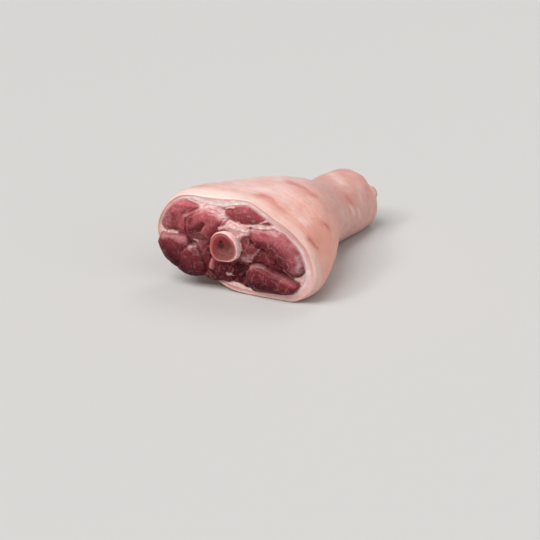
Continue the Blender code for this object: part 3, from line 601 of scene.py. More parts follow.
def bone_point(y, angles, radius):
    """Points round the shin bone's axis."""
    y, angles, radius = np.broadcast_arrays(np.asarray(y, dtype=float), angles, radius)
    share = y / LENGTH
    x_mid = BONE_START[0] + (BONE_END[0] - BONE_START[0]) * share
    z_mid = BONE_START[1] + (BONE_END[1] - BONE_START[1]) * share + FACE_HEIGHT
    near_cut = np.clip(1.0 - y / BONE_REACH, 0.0, 1.0)
    radius = radius * (1.0 + near_cut * (around(BONE_OUTLINE, angles / math.tau) - 1.0))
    x = x_mid + radius * np.cos(angles)
    z = z_mid + radius * np.sin(angles)
    return np.stack((x, y + slant(x, z, y), z), axis=-1)


def bone_size(y):
    """Outer and inner radius of the bone."""
    size = along(BONE_SECTIONS, np.asarray(y, dtype=float))
    return size[..., 0], size[..., 0] - size[..., 1]


def wall_share(angles):
    """How much thinner the bone's wall is, most on its left, as a share of its radius."""
    left, right = (hump(angles, *place) for place in zip(WALL_THIN_ANGLES, WALL_THIN_HALF))
    return WALL_THIN[0] + WALL_THIN[1] * left + WALL_THIN[2] * right


def face_place(points):
    """Across and up on the cut face, for points of it."""
    up = (points[..., 2] - FACE_HEIGHT) / math.cos(FACE_LEAN)
    across = (points[..., 0] + up * math.sin(FACE_TURN) * math.sin(FACE_LEAN)) / math.cos(FACE_TURN)
    return np.stack((across, up), axis=-1)


def face_normal():
    """The way the cut face looks."""
    right = np.array((math.cos(FACE_TURN), math.sin(FACE_TURN), 0.0))
    level = np.array((math.sin(FACE_TURN), -math.cos(FACE_TURN), 0.0))
    upward = np.array((0.0, 0.0, math.cos(FACE_LEAN))) - level * math.sin(FACE_LEAN)
    return np.cross(right, upward)


def even_angles(count, radii):
    """Angles that part a closed outline, given as in RIM_RADII, into even lengths."""
    fine = np.linspace(0.0, math.tau, 3001)
    reach = around(radii, fine / math.tau)
    path = np.stack((reach * np.cos(fine), reach * np.sin(fine)), axis=-1)
    length = np.concatenate(([0.0], np.cumsum(np.linalg.norm(np.diff(path, axis=0), axis=1))))
    return np.interp(np.arange(count) / count * length[-1], length, fine)


def bend(line, parts=5):
    """More points on a smooth open curve through a few points."""
    corners = np.array(line, dtype=float)
    if len(corners) < 3:
        return corners
    padded = np.concatenate((2 * corners[:1] - corners[1:2], corners, 2 * corners[-1:] - corners[-2:-1]))
    u = (np.arange(parts) / parts)[:, None]
    spans = [curve_between(*four, u) for four in zip(padded, padded[1:], padded[2:], padded[3:])]
    return np.concatenate(spans + [corners[-1:]])


def to_line(points, line):
    """Distance from points to a line through corners, in the plane or in space."""
    corners = np.array(line, dtype=float)
    if len(corners) == 1:
        return np.linalg.norm(points - corners[0], axis=-1)
    nearest = np.full(points.shape[:-1], np.inf)
    for start, end in zip(corners[:-1], corners[1:]):
        way = end - start
        share = np.clip(((points - start) @ way) / (way @ way), 0.0, 1.0)
        reach = np.linalg.norm(points - start - share[..., None] * way, axis=-1)
        nearest = np.minimum(nearest, reach)
    return nearest


def close_to(points, corners, reach):
    """Which points lie in the box round some corners, widened by reach."""
    low, high = np.min(corners, axis=0) - reach, np.max(corners, axis=0) + reach
    return np.all((points > low) & (points < high), axis=-1)


def to_curve(points, line, reach=6.0):
    """Distance from points of the face to a smooth curve, up to reach."""
    path = bend(line)
    nearest = np.full(points.shape[:-1], reach)
    near = close_to(points, path, reach)
    nearest[near] = np.minimum(to_line(points[near], path), reach)
    return nearest


def to_outline(points, outline, reach=6.0):
    """Depth inside a closed outline, negative outside and at most reach there, and how far the
    nearest edge faces up and to the right."""
    depth = np.full(points.shape[:-1], -reach)
    facing = np.zeros(points.shape[:-1])
    near = close_to(points, outline, reach)
    some = points[near]
    nearest = np.full(len(some), np.inf)
    side = np.zeros(len(some))
    inside = np.zeros(len(some), dtype=bool)
    for start, end in zip(outline, np.roll(outline, -1, axis=0)):
        way = end - start
        share = np.clip(((some - start) @ way) / (way @ way), 0.0, 1.0)
        offset = start + share[:, None] * way - some
        gap = np.linalg.norm(offset, axis=-1)
        closer = gap < nearest
        nearest = np.where(closer, gap, nearest)
        side = np.where(closer, offset @ FILM_AND_SHEEN_SIDE / np.maximum(gap, 1e-6), side)
        spans = (start[1] > some[:, 1]) != (end[1] > some[:, 1])
        if way[1] != 0.0:
            crossing = start[0] + (some[:, 1] - start[1]) * way[0] / way[1]
            inside ^= spans & (some[:, 0] < crossing)
    depth[near] = np.where(inside, nearest, -np.minimum(nearest, reach))
    facing[near] = np.where(inside, side, -side)
    return depth, facing


def grid_normals(points):
    """Normals of a grid whose rows and columns both close on themselves."""
    down = np.roll(points, -1, axis=0) - np.roll(points, 1, axis=0)
    across = np.roll(points, -1, axis=1) - np.roll(points, 1, axis=1)
    normal = np.cross(across, down)
    return normal / np.maximum(np.linalg.norm(normal, axis=-1, keepdims=True), 1e-9)


def grid_faces(rows, columns, open_ended=False):
    """Quads of a grid that closes on itself both ways, or only round its rings."""
    i, k = np.meshgrid(np.arange(rows - open_ended), np.arange(columns), indexing="ij")
    below, beside = (i + 1) % rows, (k + 1) % columns
    corners = (i * columns + k, i * columns + beside, below * columns + beside, below * columns + k)
    return np.stack(corners, axis=-1).reshape(-1, 4)


def enclosed(points, faces):
    """Six times the volume inside a closed mesh of quads, positive if it faces out."""
    a, b, c, d = (points[faces[:, n]] for n in range(4))
    return np.sum(np.cross(a, b) * c) + np.sum(np.cross(a, c) * d)


def outward(points):
    """Normals of a closed grid, facing out."""
    sign = math.copysign(1.0, enclosed(points.reshape(-1, 3), grid_faces(*points.shape[:2])))
    return grid_normals(points) * sign


def add_object(name, data):
    thing = bpy.data.objects.new(name, data)
    bpy.context.scene.collection.objects.link(thing)
    return thing


def make_piece(name, node, points, masks, finish, open_ended=False):
    """A closed mesh from a grid of rings, with masks for its material. An open-ended grid gets a
    small flat cap at each end."""
    rows, columns = points.shape[:2]
    quads = grid_faces(rows, columns, open_ended)
    flat = points.reshape(-1, 3)
    faces = quads.tolist()
    if open_ended:
        faces.append(list(range(columns))[::-1])
        faces.append(list(range((rows - 1) * columns, rows * columns)))
    if enclosed(flat, quads) < 0.0:
        faces = [face[::-1] for face in faces]
    placed = (flat + (ORIGIN[0], ORIGIN[1], 0.0)) * MM
    mesh = bpy.data.meshes.new(name)
    mesh.from_pydata(placed.tolist(), [], faces)
    for mask, values in masks.items():
        attribute = mesh.attributes.new(mask, "FLOAT", "POINT")
        attribute.data.foreach_set("value", np.clip(values, -1.0, 1.0).astype(np.float32).ravel())
    mesh.shade_smooth()
    mesh.materials.append(finish)
    piece = add_object(name, mesh)
    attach(piece, "root")
    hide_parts(node)


class Finish:
    """A material, and short ways to add nodes to it."""

    def __init__(self, name, settings):
        self.material = bpy.data.materials.new(name)
        self.material.use_nodes = True
        self.tree = self.material.node_tree
        self.shader = self.tree.nodes["Principled BSDF"]
        self.place = self.add("ShaderNodeTexCoord").outputs["Object"]
        for socket, value in settings.items():
            self.shader.inputs[socket].default_value = value

    def feed(self, socket, value):
        if isinstance(value, bpy.types.NodeSocket):
            self.tree.links.new(value, socket)
        else:
            socket.default_value = value

    def add(self, kind, inputs=None, **properties):
        node = self.tree.nodes.new(kind)
        for key, value in properties.items():
            setattr(node, key, value)
        for key, value in (inputs or {}).items():
            self.feed(node.inputs[key], value)
        return node

    def mask(self, name):
        return self.add("ShaderNodeAttribute", attribute_name=name).outputs["Fac"]

    def stretched(self, stretch):
        """The place in millimetres, divided by a size for each axis."""
        scale = tuple(1.0 / (MM * size) for size in stretch)
        return self.add("ShaderNodeMapping", {"Vector": self.place, "Scale": scale}).outputs["Vector"]

    def noise(self, size, detail=3.0, roughness=0.55, distortion=0.0):
        """Noise from 0 to 1, with lumps of size mm, or of three sizes."""
        stretch = size if isinstance(size, tuple) else (size,) * 3
        inputs = {"Vector": self.stretched(stretch), "Scale": 1.0, "Detail": detail,
                  "Roughness": roughness, "Distortion": distortion}
        return self.add("ShaderNodeTexNoise", inputs).outputs["Fac"]

    def veins(self, size, wander):
        """Distance from the edges of cells of size mm whose edges wander by some mm."""
        inputs = {"Vector": self.stretched((size * 0.6,) * 3), "Scale": 1.0, "Detail": 3.0}
        lump = self.add("ShaderNodeTexNoise", inputs).outputs["Color"]
        shift = self.add("ShaderNodeVectorMath", {0: lump, "Scale": 2.0 * wander / size}, operation="SCALE")
        moved = self.add("ShaderNodeVectorMath", {0: self.stretched((size,) * 3), 1: shift.outputs[0]})
        return self.add("ShaderNodeTexVoronoi", {"Vector": moved.outputs[0], "Scale": 1.0},
                        feature="DISTANCE_TO_EDGE").outputs["Distance"]

    def between(self, value, low, high, to_low=0.0, to_high=1.0):
        """A value moved smoothly from one range to another, and kept in it."""
        inputs = {"Value": value, "From Min": low, "From Max": high, "To Min": to_low, "To Max": to_high}
        return self.add("ShaderNodeMapRange", inputs, interpolation_type="SMOOTHSTEP").outputs["Result"]

    def times(self, first, second):
        return self.add("ShaderNodeMath", {0: first, 1: second}, operation="MULTIPLY").outputs[0]

    def mix(self, share, first, second):
        node = self.add("ShaderNodeMix", data_type="RGBA")
        for socket, value in ((node.inputs[0], share), (node.inputs[6], first), (node.inputs[7], second)):
            self.feed(socket, value)
        return node.outputs[2]

    def cloud(self, colour, size, character, ends, share, tint):
        """Lay a tint over a colour in lumps of size mm, by share at most."""
        cover = self.between(self.noise(size, *character), *ends, 0.0, share)
        return self.mix(cover, colour, screen(*tint))

    def tinted(self, colour, **tints):
        """Lay the tints over a colour, each where the mask of its name says."""
        for name, tint in tints.items():
            colour = self.mix(self.mask(name), colour, screen(*tint))
        return colour

    def finish(self, colour, gloss, *bumps):
        """The material from its colour, the grain and range of its roughness, and its bumps, each a
        height from 0 to 1 and the millimetres that it stands for."""
        size, detail, smooth, rough = gloss
        roughness = self.between(self.noise(size, detail), 0.3, 0.7, smooth, rough)
        inputs = {"Base Color": colour, "Roughness": roughness}
        for height, distance in bumps:
            bump = {"Height": height, "Distance": distance * MM, "Strength": 1.0}
            if "Normal" in inputs:
                bump["Normal"] = inputs["Normal"]
            inputs["Normal"] = self.add("ShaderNodeBump", bump).outputs["Normal"]
        for socket, source in inputs.items():
            self.tree.links.new(source, self.shader.inputs[socket])
        return self.material


def screen(red, green, blue):
    """A colour as on a screen, 0 to 255, in linear light."""
    levels = [level / 255.0 for level in (red, green, blue)]
    return tuple(u / 12.92 if u <= 0.04045 else ((u + 0.055) / 1.055) ** 2.4 for u in levels) + (1.0,)


def rind_finish():
    f = Finish("rind_and_fat", dict(zip(SURFACE, RIND_SURFACE)))
    skin = f.mix(f.between(f.noise(38.0), 0.35, 0.65), screen(224, 184, 173), screen(217, 162, 149))
    for layer in SKIN_CLOUDS:
        skin = f.cloud(skin, *layer)
    # Cream near the cut; warm on the lower right side, partly painted shade; dusky towards the hock
    skin = f.tinted(skin, cream=(236, 210, 202), warm=(238, 154, 132), dusk=(194, 134, 126))
    hairs = f.between(f.noise((16.0, 1.3, 16.0), 4.0, 0.6, 1.4), 0.60, 0.70, 0.0, 0.8)
    skin = f.mix(f.times(hairs, f.mask("neck")), skin, screen(166, 104, 94))
    # Pale patches with painted light and sheen on the top, red patches and dark nicks
    skin = f.tinted(skin, pale=(238, 212, 210), red=(200, 108, 98), dark=(120, 44, 40))
    fat = f.mix(f.between(f.noise(4.5, 4.0), 0.35, 0.70), screen(254, 238, 234), screen(240, 204, 200))
    fat = f.mix(f.times(f.mask("layers"), 0.75), fat, screen(228, 184, 182))
    # Blush of the cut fat, painted shade under the leg, and the rind's colour at its edge
    fat = f.tinted(fat, blush=(210, 148, 147), rind=(206, 152, 136))
    colour = f.mix(f.mask("cut"), skin, fat)
    pores = (f.noise(0.7, 3.0, 0.7), 0.07)
    grain = (f.noise((2.4, 1.2, 2.4), 4.0, 0.65), 0.16)
    relief = (f.noise((9.0, 2.2, 9.0), 3.0), 0.35)
    return f.finish(colour, (6.0, 3.0, 0.32, 0.50), pores, grain, relief)


def meat_finish():
    f = Finish("meat", dict(zip(SURFACE, MEAT_SURFACE)))
    shade = f.mask("shade")

    def by_shade(low, high, dark, light):
        return f.mix(f.between(shade, low, high), screen(*dark), screen(*light))

    # Flesh by the shade mask: its own tone, with painted light on upper parts and painted shade on lower
    # ones and in hollows
    flesh = by_shade(-1.0, -0.35, (58, 3, 16), (112, 33, 42))
    flesh = f.mix(f.between(shade, -0.35, 0.8), flesh, screen(200, 100, 107))
    clouds = f.between(f.noise(5.0, 4.0), 0.38, 0.68, 0.0, 0.42)
    flesh = f.mix(clouds, flesh, by_shade(-1.0, 1.0, (46, 0, 9), (160, 50, 58)))
    threads = f.noise((1.0, 5.0, 3.6), 5.0, 0.7, 1.6)
    pale = by_shade(-0.8, 0.9, (124, 38, 48), (222, 142, 146))
    flesh = f.mix(f.between(threads, 0.50, 0.66, 0.0, 0.42), flesh, pale)
    flesh = f.mix(f.between(f.veins(1.6, 0.5), 0.0, 0.16, 0.22, 0.0), flesh, pale)
    patchy = f.between(f.noise(7.0, 2.0), 0.45, 0.62)
    marbling = f.between(f.veins(8.0, 1.8), 0.0, 0.10, 0.34, 0.0)
    whitish = f.mix(0.4, pale, screen(230, 176, 176))
    flesh = f.mix(f.times(marbling, patchy), flesh, whitish)
    # Pale flecks: painted glints of wet flesh
    flesh = f.mix(f.between(f.noise(1.2, 3.0, 0.6), 0.62, 0.70, 0.0, 0.60), flesh, whitish)
    # Seams darker, partly their own colour, partly painted shade in the grooves
    flesh = f.tinted(flesh, seam=(90, 12, 20))
    # Silvery film, with painted sheen and highlights on the upper edges
    film_and_sheen = f.between(f.noise((5.0, 5.0, 2.0), 4.0, 0.65), 0.34, 0.60, 0.45, 1.0)
    flesh = f.mix(f.times(film_and_sheen, f.mask("film_and_sheen")), flesh, screen(240, 204, 204))
    fat = f.mix(f.between(f.noise(4.0), 0.35, 0.70), screen(247, 214, 210), screen(233, 180, 171))
    colour = f.mix(f.mask("fat"), flesh, fat)
    # More painted shade in the grooves, and the seams' darker colour
    colour = f.mix(f.times(f.mask("seam"), 0.6), colour, screen(84, 12, 20))
    fibres = (f.noise(0.8, 4.0, 0.75), 0.30)
    swellings = (f.noise(2.6), 0.55)
    return f.finish(colour, (2.5, 3.0, 0.24, 0.46), fibres, (threads, 0.45), swellings)


def bone_finish():
    f = Finish("bone", dict(zip(SURFACE, BONE_SURFACE)))
    colour = f.mix(f.between(f.noise(5.0), 0.35, 0.68), screen(252, 214, 212), screen(240, 188, 186))
    colour = f.tinted(colour, blood=(196, 96, 98))
    return f.finish(colour, (3.0, 2.0, 0.30, 0.48), (f.noise(1.2, 4.0), 0.12))


def marrow_finish():
    f = Finish("marrow", dict(zip(SURFACE, MARROW_SURFACE)))
    # Redder and darker towards the top left, partly painted shade on its upper side
    colour = f.mix(f.mask("red"), screen(144, 86, 81), screen(150, 40, 48))
    for layer in MARROW_CLOUDS:
        colour = f.cloud(colour, *layer)
    # Salmon rim at the edge; holes darker, partly their colour, partly painted shade
    colour = f.tinted(colour, rim=(206, 124, 122), pit=(40, 6, 10))
    return f.finish(colour, (2.0, 2.0, 0.30, 0.50), (f.noise(0.9, 4.0), 0.18))


def skin_line(points):
    """A line on the skin through (angle in degrees, distance along) points."""
    places = np.array(points, dtype=float)
    return skin_point(places[:, 1], np.radians(places[:, 0]), 0.0)


def patches(points, listed):
    """How strongly listed patches of skin cover each point."""
    total = np.zeros(points.shape[:-1])
    for strength, width, places in listed:
        total = np.maximum(total, strength * np.exp(-(to_line(points, skin_line(places)) / width) ** 2))
    return total * (0.75 + 0.4 * noise(points, (6.0, 3.0, 6.0), 9))


def chance_patches(count, widths, strength, seed):
    """Seeded patches on the sides that the list leaves bare."""
    draw = np.random.default_rng(SEED * 100 + seed)
    made = []
    for _ in range(count):
        angle, y = draw.uniform(*BARE_ANGLES), draw.uniform(*BARE_LENGTHS)
        turn, run = draw.uniform(-14.0, 14.0), draw.uniform(-5.0, 5.0)
        share, width = draw.uniform(0.6, 1.0), draw.uniform(*widths)
        made.append((strength * share, width, ((angle, y), (angle + turn, y + run))))
    return tuple(made)


def rind_rings(angles):
    """The rings round the sleeve's wall: distance along, depth, and the part that each is on."""
    quarter = np.linspace(0.0, math.pi / 2, EDGE_STEPS)
    rings = [(drawn_back(RIM_EDGE * (1.0 - math.sin(a)), angles), RIM_EDGE * (1.0 - math.cos(a)), "skin")
             for a in quarter[::-1]]
    rings += [(drawn_back(y, angles), 0.0, "skin")
              for y in np.linspace(RIM_EDGE, LENGTH - CURL_LENGTH, SKIN_RINGS)[1:]]
    rings += [(LENGTH - CURL_LENGTH * (1.0 - math.sin(b)), 0.0, "skin")
              for b in np.linspace(0.0, math.pi / 2, 18)[1:]]
    rings += [(LENGTH - HOCK_DISH * math.sin(share * math.pi), body_fat(angles, LENGTH) * share, "end")
              for share in np.linspace(0.0, 1.0, 9)[1:]]
    inside = list(np.linspace(LENGTH - 2.0, 24.0, 9))
    inside += [drawn_back(y, angles) for y in (14.0, 8.0, 4.0, 2.0)]
    rings += [(y, body_fat(angles, y), "inside") for y in inside]
    start = drawn_back(0.0, angles)
    thick = body_fat(angles, start)
    rings += [(start + INNER_EDGE * (1.0 - math.sin(a)), thick - INNER_EDGE * (1.0 - math.cos(a)), "cut")
              for a in quarter[1:]]
    for share in np.linspace(0.0, 1.0, CUT_RINGS)[1:-1]:
        depth = (thick - INNER_EDGE) * (1.0 - share) + RIM_EDGE * share
        rings.append((start + CUT_DISH * math.sin(share * math.pi) ** 0.7, depth, "cut"))
    y, depth = (np.array([np.broadcast_to(ring[n], angles.shape) for ring in rings]) for n in (0, 1))
    return y, depth, np.array([ring[2] for ring in rings])[:, None]


def make_rind():
    """Rind and fat as one sleeve: outside, hock edge, inner wall and the cut band at the front."""
    angles = even_angles(RIND_SPOKES, RIM_RADII)
    y, depth, part = rind_rings(angles)
    base = skin_point(y, angles, depth)
    skin = np.broadcast_to(part == "skin", y.shape)

    def side(middle, half_width):
        return hump(angles, math.radians(middle), math.radians(half_width))

    def tint(strength, middle, half_width, come, go):
        return strength * side(middle, half_width) * ease(y, *come) * ease(y, *go)

    top_sheen = tint(*TOP_SHEEN) * (0.75 + 0.5 * noise(base, 12.0, 35))
    pale = patches(base, PALE_PATCHES + chance_patches(10, (2.5, 6.0), 0.5, 2))
    dark = patches(base, DARK_NICKS + chance_patches(5, (0.6, 0.9), 0.7, 3))
    neck = np.exp(-((y - NECK[0]) / NECK[1]) ** 2)
    on_skin = {
        "red": patches(base, RED_PATCHES + chance_patches(14, (2.5, 8.0), 0.5, 1)),
        # Pale patches, and painted light and sheen along the top
        "pale": np.maximum(pale, top_sheen),
        "dark": dark,
        "cream": (CREAM[0] + (1.0 - CREAM[0]) * side(*CREAM[1:3])) * ease(y, *CREAM[3]),
        "neck": 0.45 * neck,
        "dusk": DUSK[0] * ease(y, *DUSK[1]),
        "warm": tint(*WARM),
    }
    sheet = np.stack(np.broadcast_arrays(angles * 8.0, depth, 0.0 * y), axis=-1)
    # Pinker fat at the cut, and under the leg painted shade
    blush = sum(strength * side(*place) for strength, *place in BLUSHES_AND_UNDERSIDE_SHADE)
    on_cut = {
        "cut": 1.0,
        "rind": 0.5 * ease(depth, *RIND_DEPTH),
        "layers": 0.5 + 0.7 * noise(sheet, 1.0, 10),
        "blush": blush * ease(depth, 10.0, 2.5),
    }
    masks = {name: np.where(skin, values, 0.0) for name, values in on_skin.items()}
    masks.update((name, np.where(skin, 0.0, values)) for name, values in on_cut.items())

    lift = lumps(base, SKIN_LUMPS) + 0.30 * neck * noise(base, (22.0, 6.0, 22.0), 4)
    lift += 0.30 * ease(y, 165.0, 200.0) * noise(base, 7.0, 5) - 0.35 * dark
    for deep, width, places in CREASES:
        lift -= deep * np.exp(-(to_line(base, skin_line(places)) / width) ** 2)
    lift *= ease(base[..., 2], 0.3, 5.0) * ease(y, 0.0, 3.0)
    lift = np.where(skin, lift, np.where(part == "inside", 0.0, lumps(base, BAND_LUMPS)))
    points = base + outward(base) * lift[..., None]

    turned = np.degrees(angles)
    flap = np.exp(-((turned - FLAP[0]) / FLAP[1]) ** 4)
    flap = flap - FLAP_DENT[2] * np.exp(-((turned - FLAP_DENT[0]) / FLAP_DENT[1]) ** 2)
    flap = np.where(part == "inside", 0.0, flap * ease(y, LENGTH - CURL_LENGTH, LENGTH - CURL_LENGTH / 2))
    out = np.stack((np.cos(angles), np.zeros_like(angles), np.sin(angles)), axis=-1)
    points = points + flap[..., None] * (FLAP_OUT * out + (0.0, 1.0, 0.0))
    points[..., 1] += np.where(part == "end", RAGGED * noise(base, 5.0, 8), 0.0)
    points[..., 2] = np.maximum(points[..., 2], 0.0)
    make_piece("rind_skin", "fat_layer", points, masks, rind_finish())


def smooth_most(first, second, softness):
    """The larger of two heights, rounded where they meet."""
    share = np.clip(0.5 + 0.5 * (first - second) / softness, 0.0, 1.0)
    return second + (first - second) * share + softness * share * (1.0 - share)


def stroke(place, half_width, line):
    """1 on a smooth curve over the face, fading softly to each side, and a little uneven."""
    wide = half_width * (1.0 + 0.35 * flat_noise(place, 3.0, 19))
    return np.exp(-(to_curve(place, line, STROKE_REACH * half_width) / wide) ** 2)


def soften(grid, passes):
    """Even out a grid whose columns close on themselves."""
    for _ in range(passes):
        grid = 0.5 * grid + 0.25 * (np.roll(grid, 1, axis=1) + np.roll(grid, -1, axis=1))
        padded = np.concatenate((grid[:1], grid, grid[-1:]))
        grid = 0.5 * grid + 0.25 * (padded[:-2] + padded[2:])
    return grid


def muscle_layers(place):
    """Of each muscle and of the fat between: depth inside it, and its height, shade, film with painted
    sheen, and fat.
    """
    depths, layers = [], []
    for rise, round_off, light, pale, fatty, corners in MUSCLES.values():
        count = len(corners) * OUTLINE_PARTS
        outline = around(corners, np.arange(count) / count)
        inside, facing = to_outline(place, outline)
        inside = inside + MUSCLE_SPREAD
        shoulder = np.clip((inside + 0.5 * round_off) / (1.5 * round_off), 0.0, 1.0)
        belly = np.clip(inside / (BELLY_REACH * round_off), 0.0, 1.0)
        crown = SHOULDER_HEIGHT * np.sqrt(1.0 - (1.0 - shoulder) ** 2)
        crown = crown + (1.0 - SHOULDER_HEIGHT) * (1.0 - (1.0 - belly) ** 2)
        # Silvery film on the edges facing up and right, partly painted sheen where light catches them
        film_and_sheen = np.exp(-(np.maximum(inside, 0.0) / (FILM_AND_SHEEN_REACH * round_off)) ** 2)
        film_and_sheen = pale * film_and_sheen * ease(facing, 0.25, 0.95)
        low, high = outline[:, 1].min(), outline[:, 1].max()
        # Painted light and shade: paler towards the muscle's top, darker towards its foot
        tone = light + SHADE_SPAN * np.clip((2.0 * place[..., 1] - low - high) / (high - low), -1.0, 1.0)
        depths.append(inside)
        layers.append((crown * (rise + EDGE_DEPTH) - EDGE_DEPTH, tone, film_and_sheen, np.full_like(inside, fatty)))
    outside = -np.max(depths, axis=0)
    layers.append([np.full_like(outside, level) for level in (FAT_LEVEL, FAT_SHADE, 0.0, 0.0)])
    return np.array(depths + [outside]), layers


def muscle_relief(place):
    """Heights over the cut face, how deep each place is inside a muscle and inside the next one, and
    the masks."""
    depths, layers = muscle_layers(place)
    second, cover = np.sort(depths[:-1], axis=0)[-2:]
    share = np.exp((depths - depths.max(axis=0)) / PRESS)
    share /= share.sum(axis=0)
    height, shade, film_and_sheen, fat = (np.sum(share * np.array(values), axis=0) for values in zip(*layers))

    seam = ease(second, -1.5, -0.3) * np.exp(-((cover - second) / 2.0 / SEAM_HALF_WIDTH) ** 2)
    seam = seam * np.clip(0.45 + 0.9 * flat_noise(place, 7.0, 18), 0.0, 1.2)
    height = height - SEAM_DEPTH * seam
    for top, half_width, white, line in FASCIA:
        reach = to_curve(place, line) / (half_width * (1.0 + 0.5 * flat_noise(place, 2.5, 20)))
        height = smooth_most(height, top - FASCIA_FALL * np.minimum(reach, 3.0) ** 2, FASCIA_BLEND)
        fat = np.maximum(fat, white * ease(reach, 1.7, 0.3))
    # Pale film washes, some of them painted highlights and glints
    for strength, half_width, line in FILM_AND_HIGHLIGHT_WASHES:
        film_and_sheen = np.maximum(film_and_sheen, strength * stroke(place, half_width, line))
    # Lighter and darker strokes, partly the flesh's own tone, partly painted light and shade
    for change, half_width, line in FLESH_TONE_LIGHT_AND_SHADE:
        shade = shade + change * stroke(place, half_width, line)
    dip = np.zeros(place.shape[:-1])
    for deep, half_width, line in GROOVES:
        dip = np.maximum(dip, GROOVE_DEPTH * deep * stroke(place, GROOVE_SPREAD * half_width, line))
    # Painted shade in the grooves, deeper where they are deeper, with the seams' own darker colour
    dark = np.maximum(np.clip(dip / DARK_DEPTH, 0.0, DARKEST), SEAM_DARK * np.clip(seam, 0.0, 1.0))
    return height - dip, cover, second, {"shade": shade, "film_and_sheen": film_and_sheen, "fat": fat, "seam": dark}


def loose_outline(bone, rim):
    """Where the muscles end between the bone and the rim, with narrow notches closed."""
    share = np.linspace(LOOSE_START, 1.0, 160)[:, None, None]
    cover = muscle_relief(face_place(bone + (rim - bone) * share))[1]
    last = np.where(cover >= MUSCLE_SPREAD - CLOSING, share[..., 0], LOOSE_START).max(axis=0)
    last = last - (CLOSING - 0.3) / np.linalg.norm(rim - bone, axis=-1)
    spread = np.exp(-np.linspace(-2.0, 2.0, 13) ** 2)
    last = np.convolve(np.concatenate((last[-6:], last, last[:6])), spread / spread.sum(), mode="valid")
    return bone + (rim - bone) * last[:, None]


def muscle_face(bone, outline, loose):
    """The cut face: its points, its height at the edge, and the masks. Loose is 1 where the rind has
    drawn back and 0 where the edge meets the fat."""
    steps = 1.0 - (1.0 - np.linspace(0.0, 1.0, FACE_STEPS)) ** 1.25
    flat = bone + (outline - bone) * steps[:, None, None]
    height, cover, second, masks = muscle_relief(face_place(flat))
    to_edge = np.linalg.norm(outline - flat, axis=-1)
    to_bone = np.linalg.norm(flat - bone, axis=-1)
    held = 1.0 - loose
    height = soften(height, SOFTENING)
    rough = lumps(flat, FLESH_LUMPS) + FAT_LUMPS * np.clip(masks["fat"], 0.0, 1.0) * noise(flat, 2.4, 36)
    height = height + rough * ease(height, -3.0, 0.0)

    # Beside the fat a muscle stands no higher than the fat does
    beside_fat = ease(second, -1.2, -3.5) * held * (1.0 - ease(cover, 0.0, 5.0))
    above = np.maximum(height - FLUSH_HEIGHT, 0.0)
    height = height - above * beside_fat
    level = ease(to_edge, 2.0, 0.2) * held
    groove = np.clip(masks["seam"], 0.0, 1.0) * ease(to_edge, 0.0, 1.0)
    height = height * (1.0 - level) + level * (EDGE_LEVEL - 0.3 * groove)
    height = np.where(loose > 0.5, np.maximum(height, -DEEPEST), height)

    # Fat fills what no muscle covers, lines the edge and lies in pieces round the bone
    uncovered = 0.95 * ease(cover, 0.5, -0.7) * ease(to_edge, 10.0, 7.0) * held
    lining = 0.6 * ease(to_edge, 1.2, 0.2) * held
    collar = 0.8 * ease(to_bone, COLLAR_WIDTH, 0.4) * ease(noise(flat, 7.0, 14), -0.3, 0.3)
    masks["fat"] = np.max((masks["fat"], uncovered, lining, collar), axis=0)
    tilted = ease(np.minimum(to_edge, to_bone), 0.0, 6.0)[..., None]
    way = face_normal() * tilted + np.array((0.0, -1.0, 0.0)) * (1.0 - tilted)
    return flat + way * height[..., None], height[-1], masks


def hock_cap(wall, bore):
    """The flesh at the hock, from the wall to the bone, with cut tendons, and its whiteness."""
    share = np.linspace(0.0, 1.0, HOCK_RINGS)[1:, None]
    cap = wall + (bore - wall) * share[..., None]
    middle_x, middle_z = along(SECTIONS, LENGTH)[:2]
    lift = lumps(cap, HOCK_LUMPS)
    white = 0.25 + 0.35 * noise(cap, 6.0, 17)
    for across, up, radius, rise, pale in TENDONS:
        reach = np.hypot(cap[..., 0] - middle_x - across, cap[..., 2] - middle_z - up) / radius
        lift += rise * np.sqrt(np.clip(1.0 - reach**2, 0.0, 1.0))
        white = np.maximum(white, pale * ease(reach, 1.1, 0.8))
    cap[..., 1] += lift * np.sin(math.pi * share)
    return cap, white


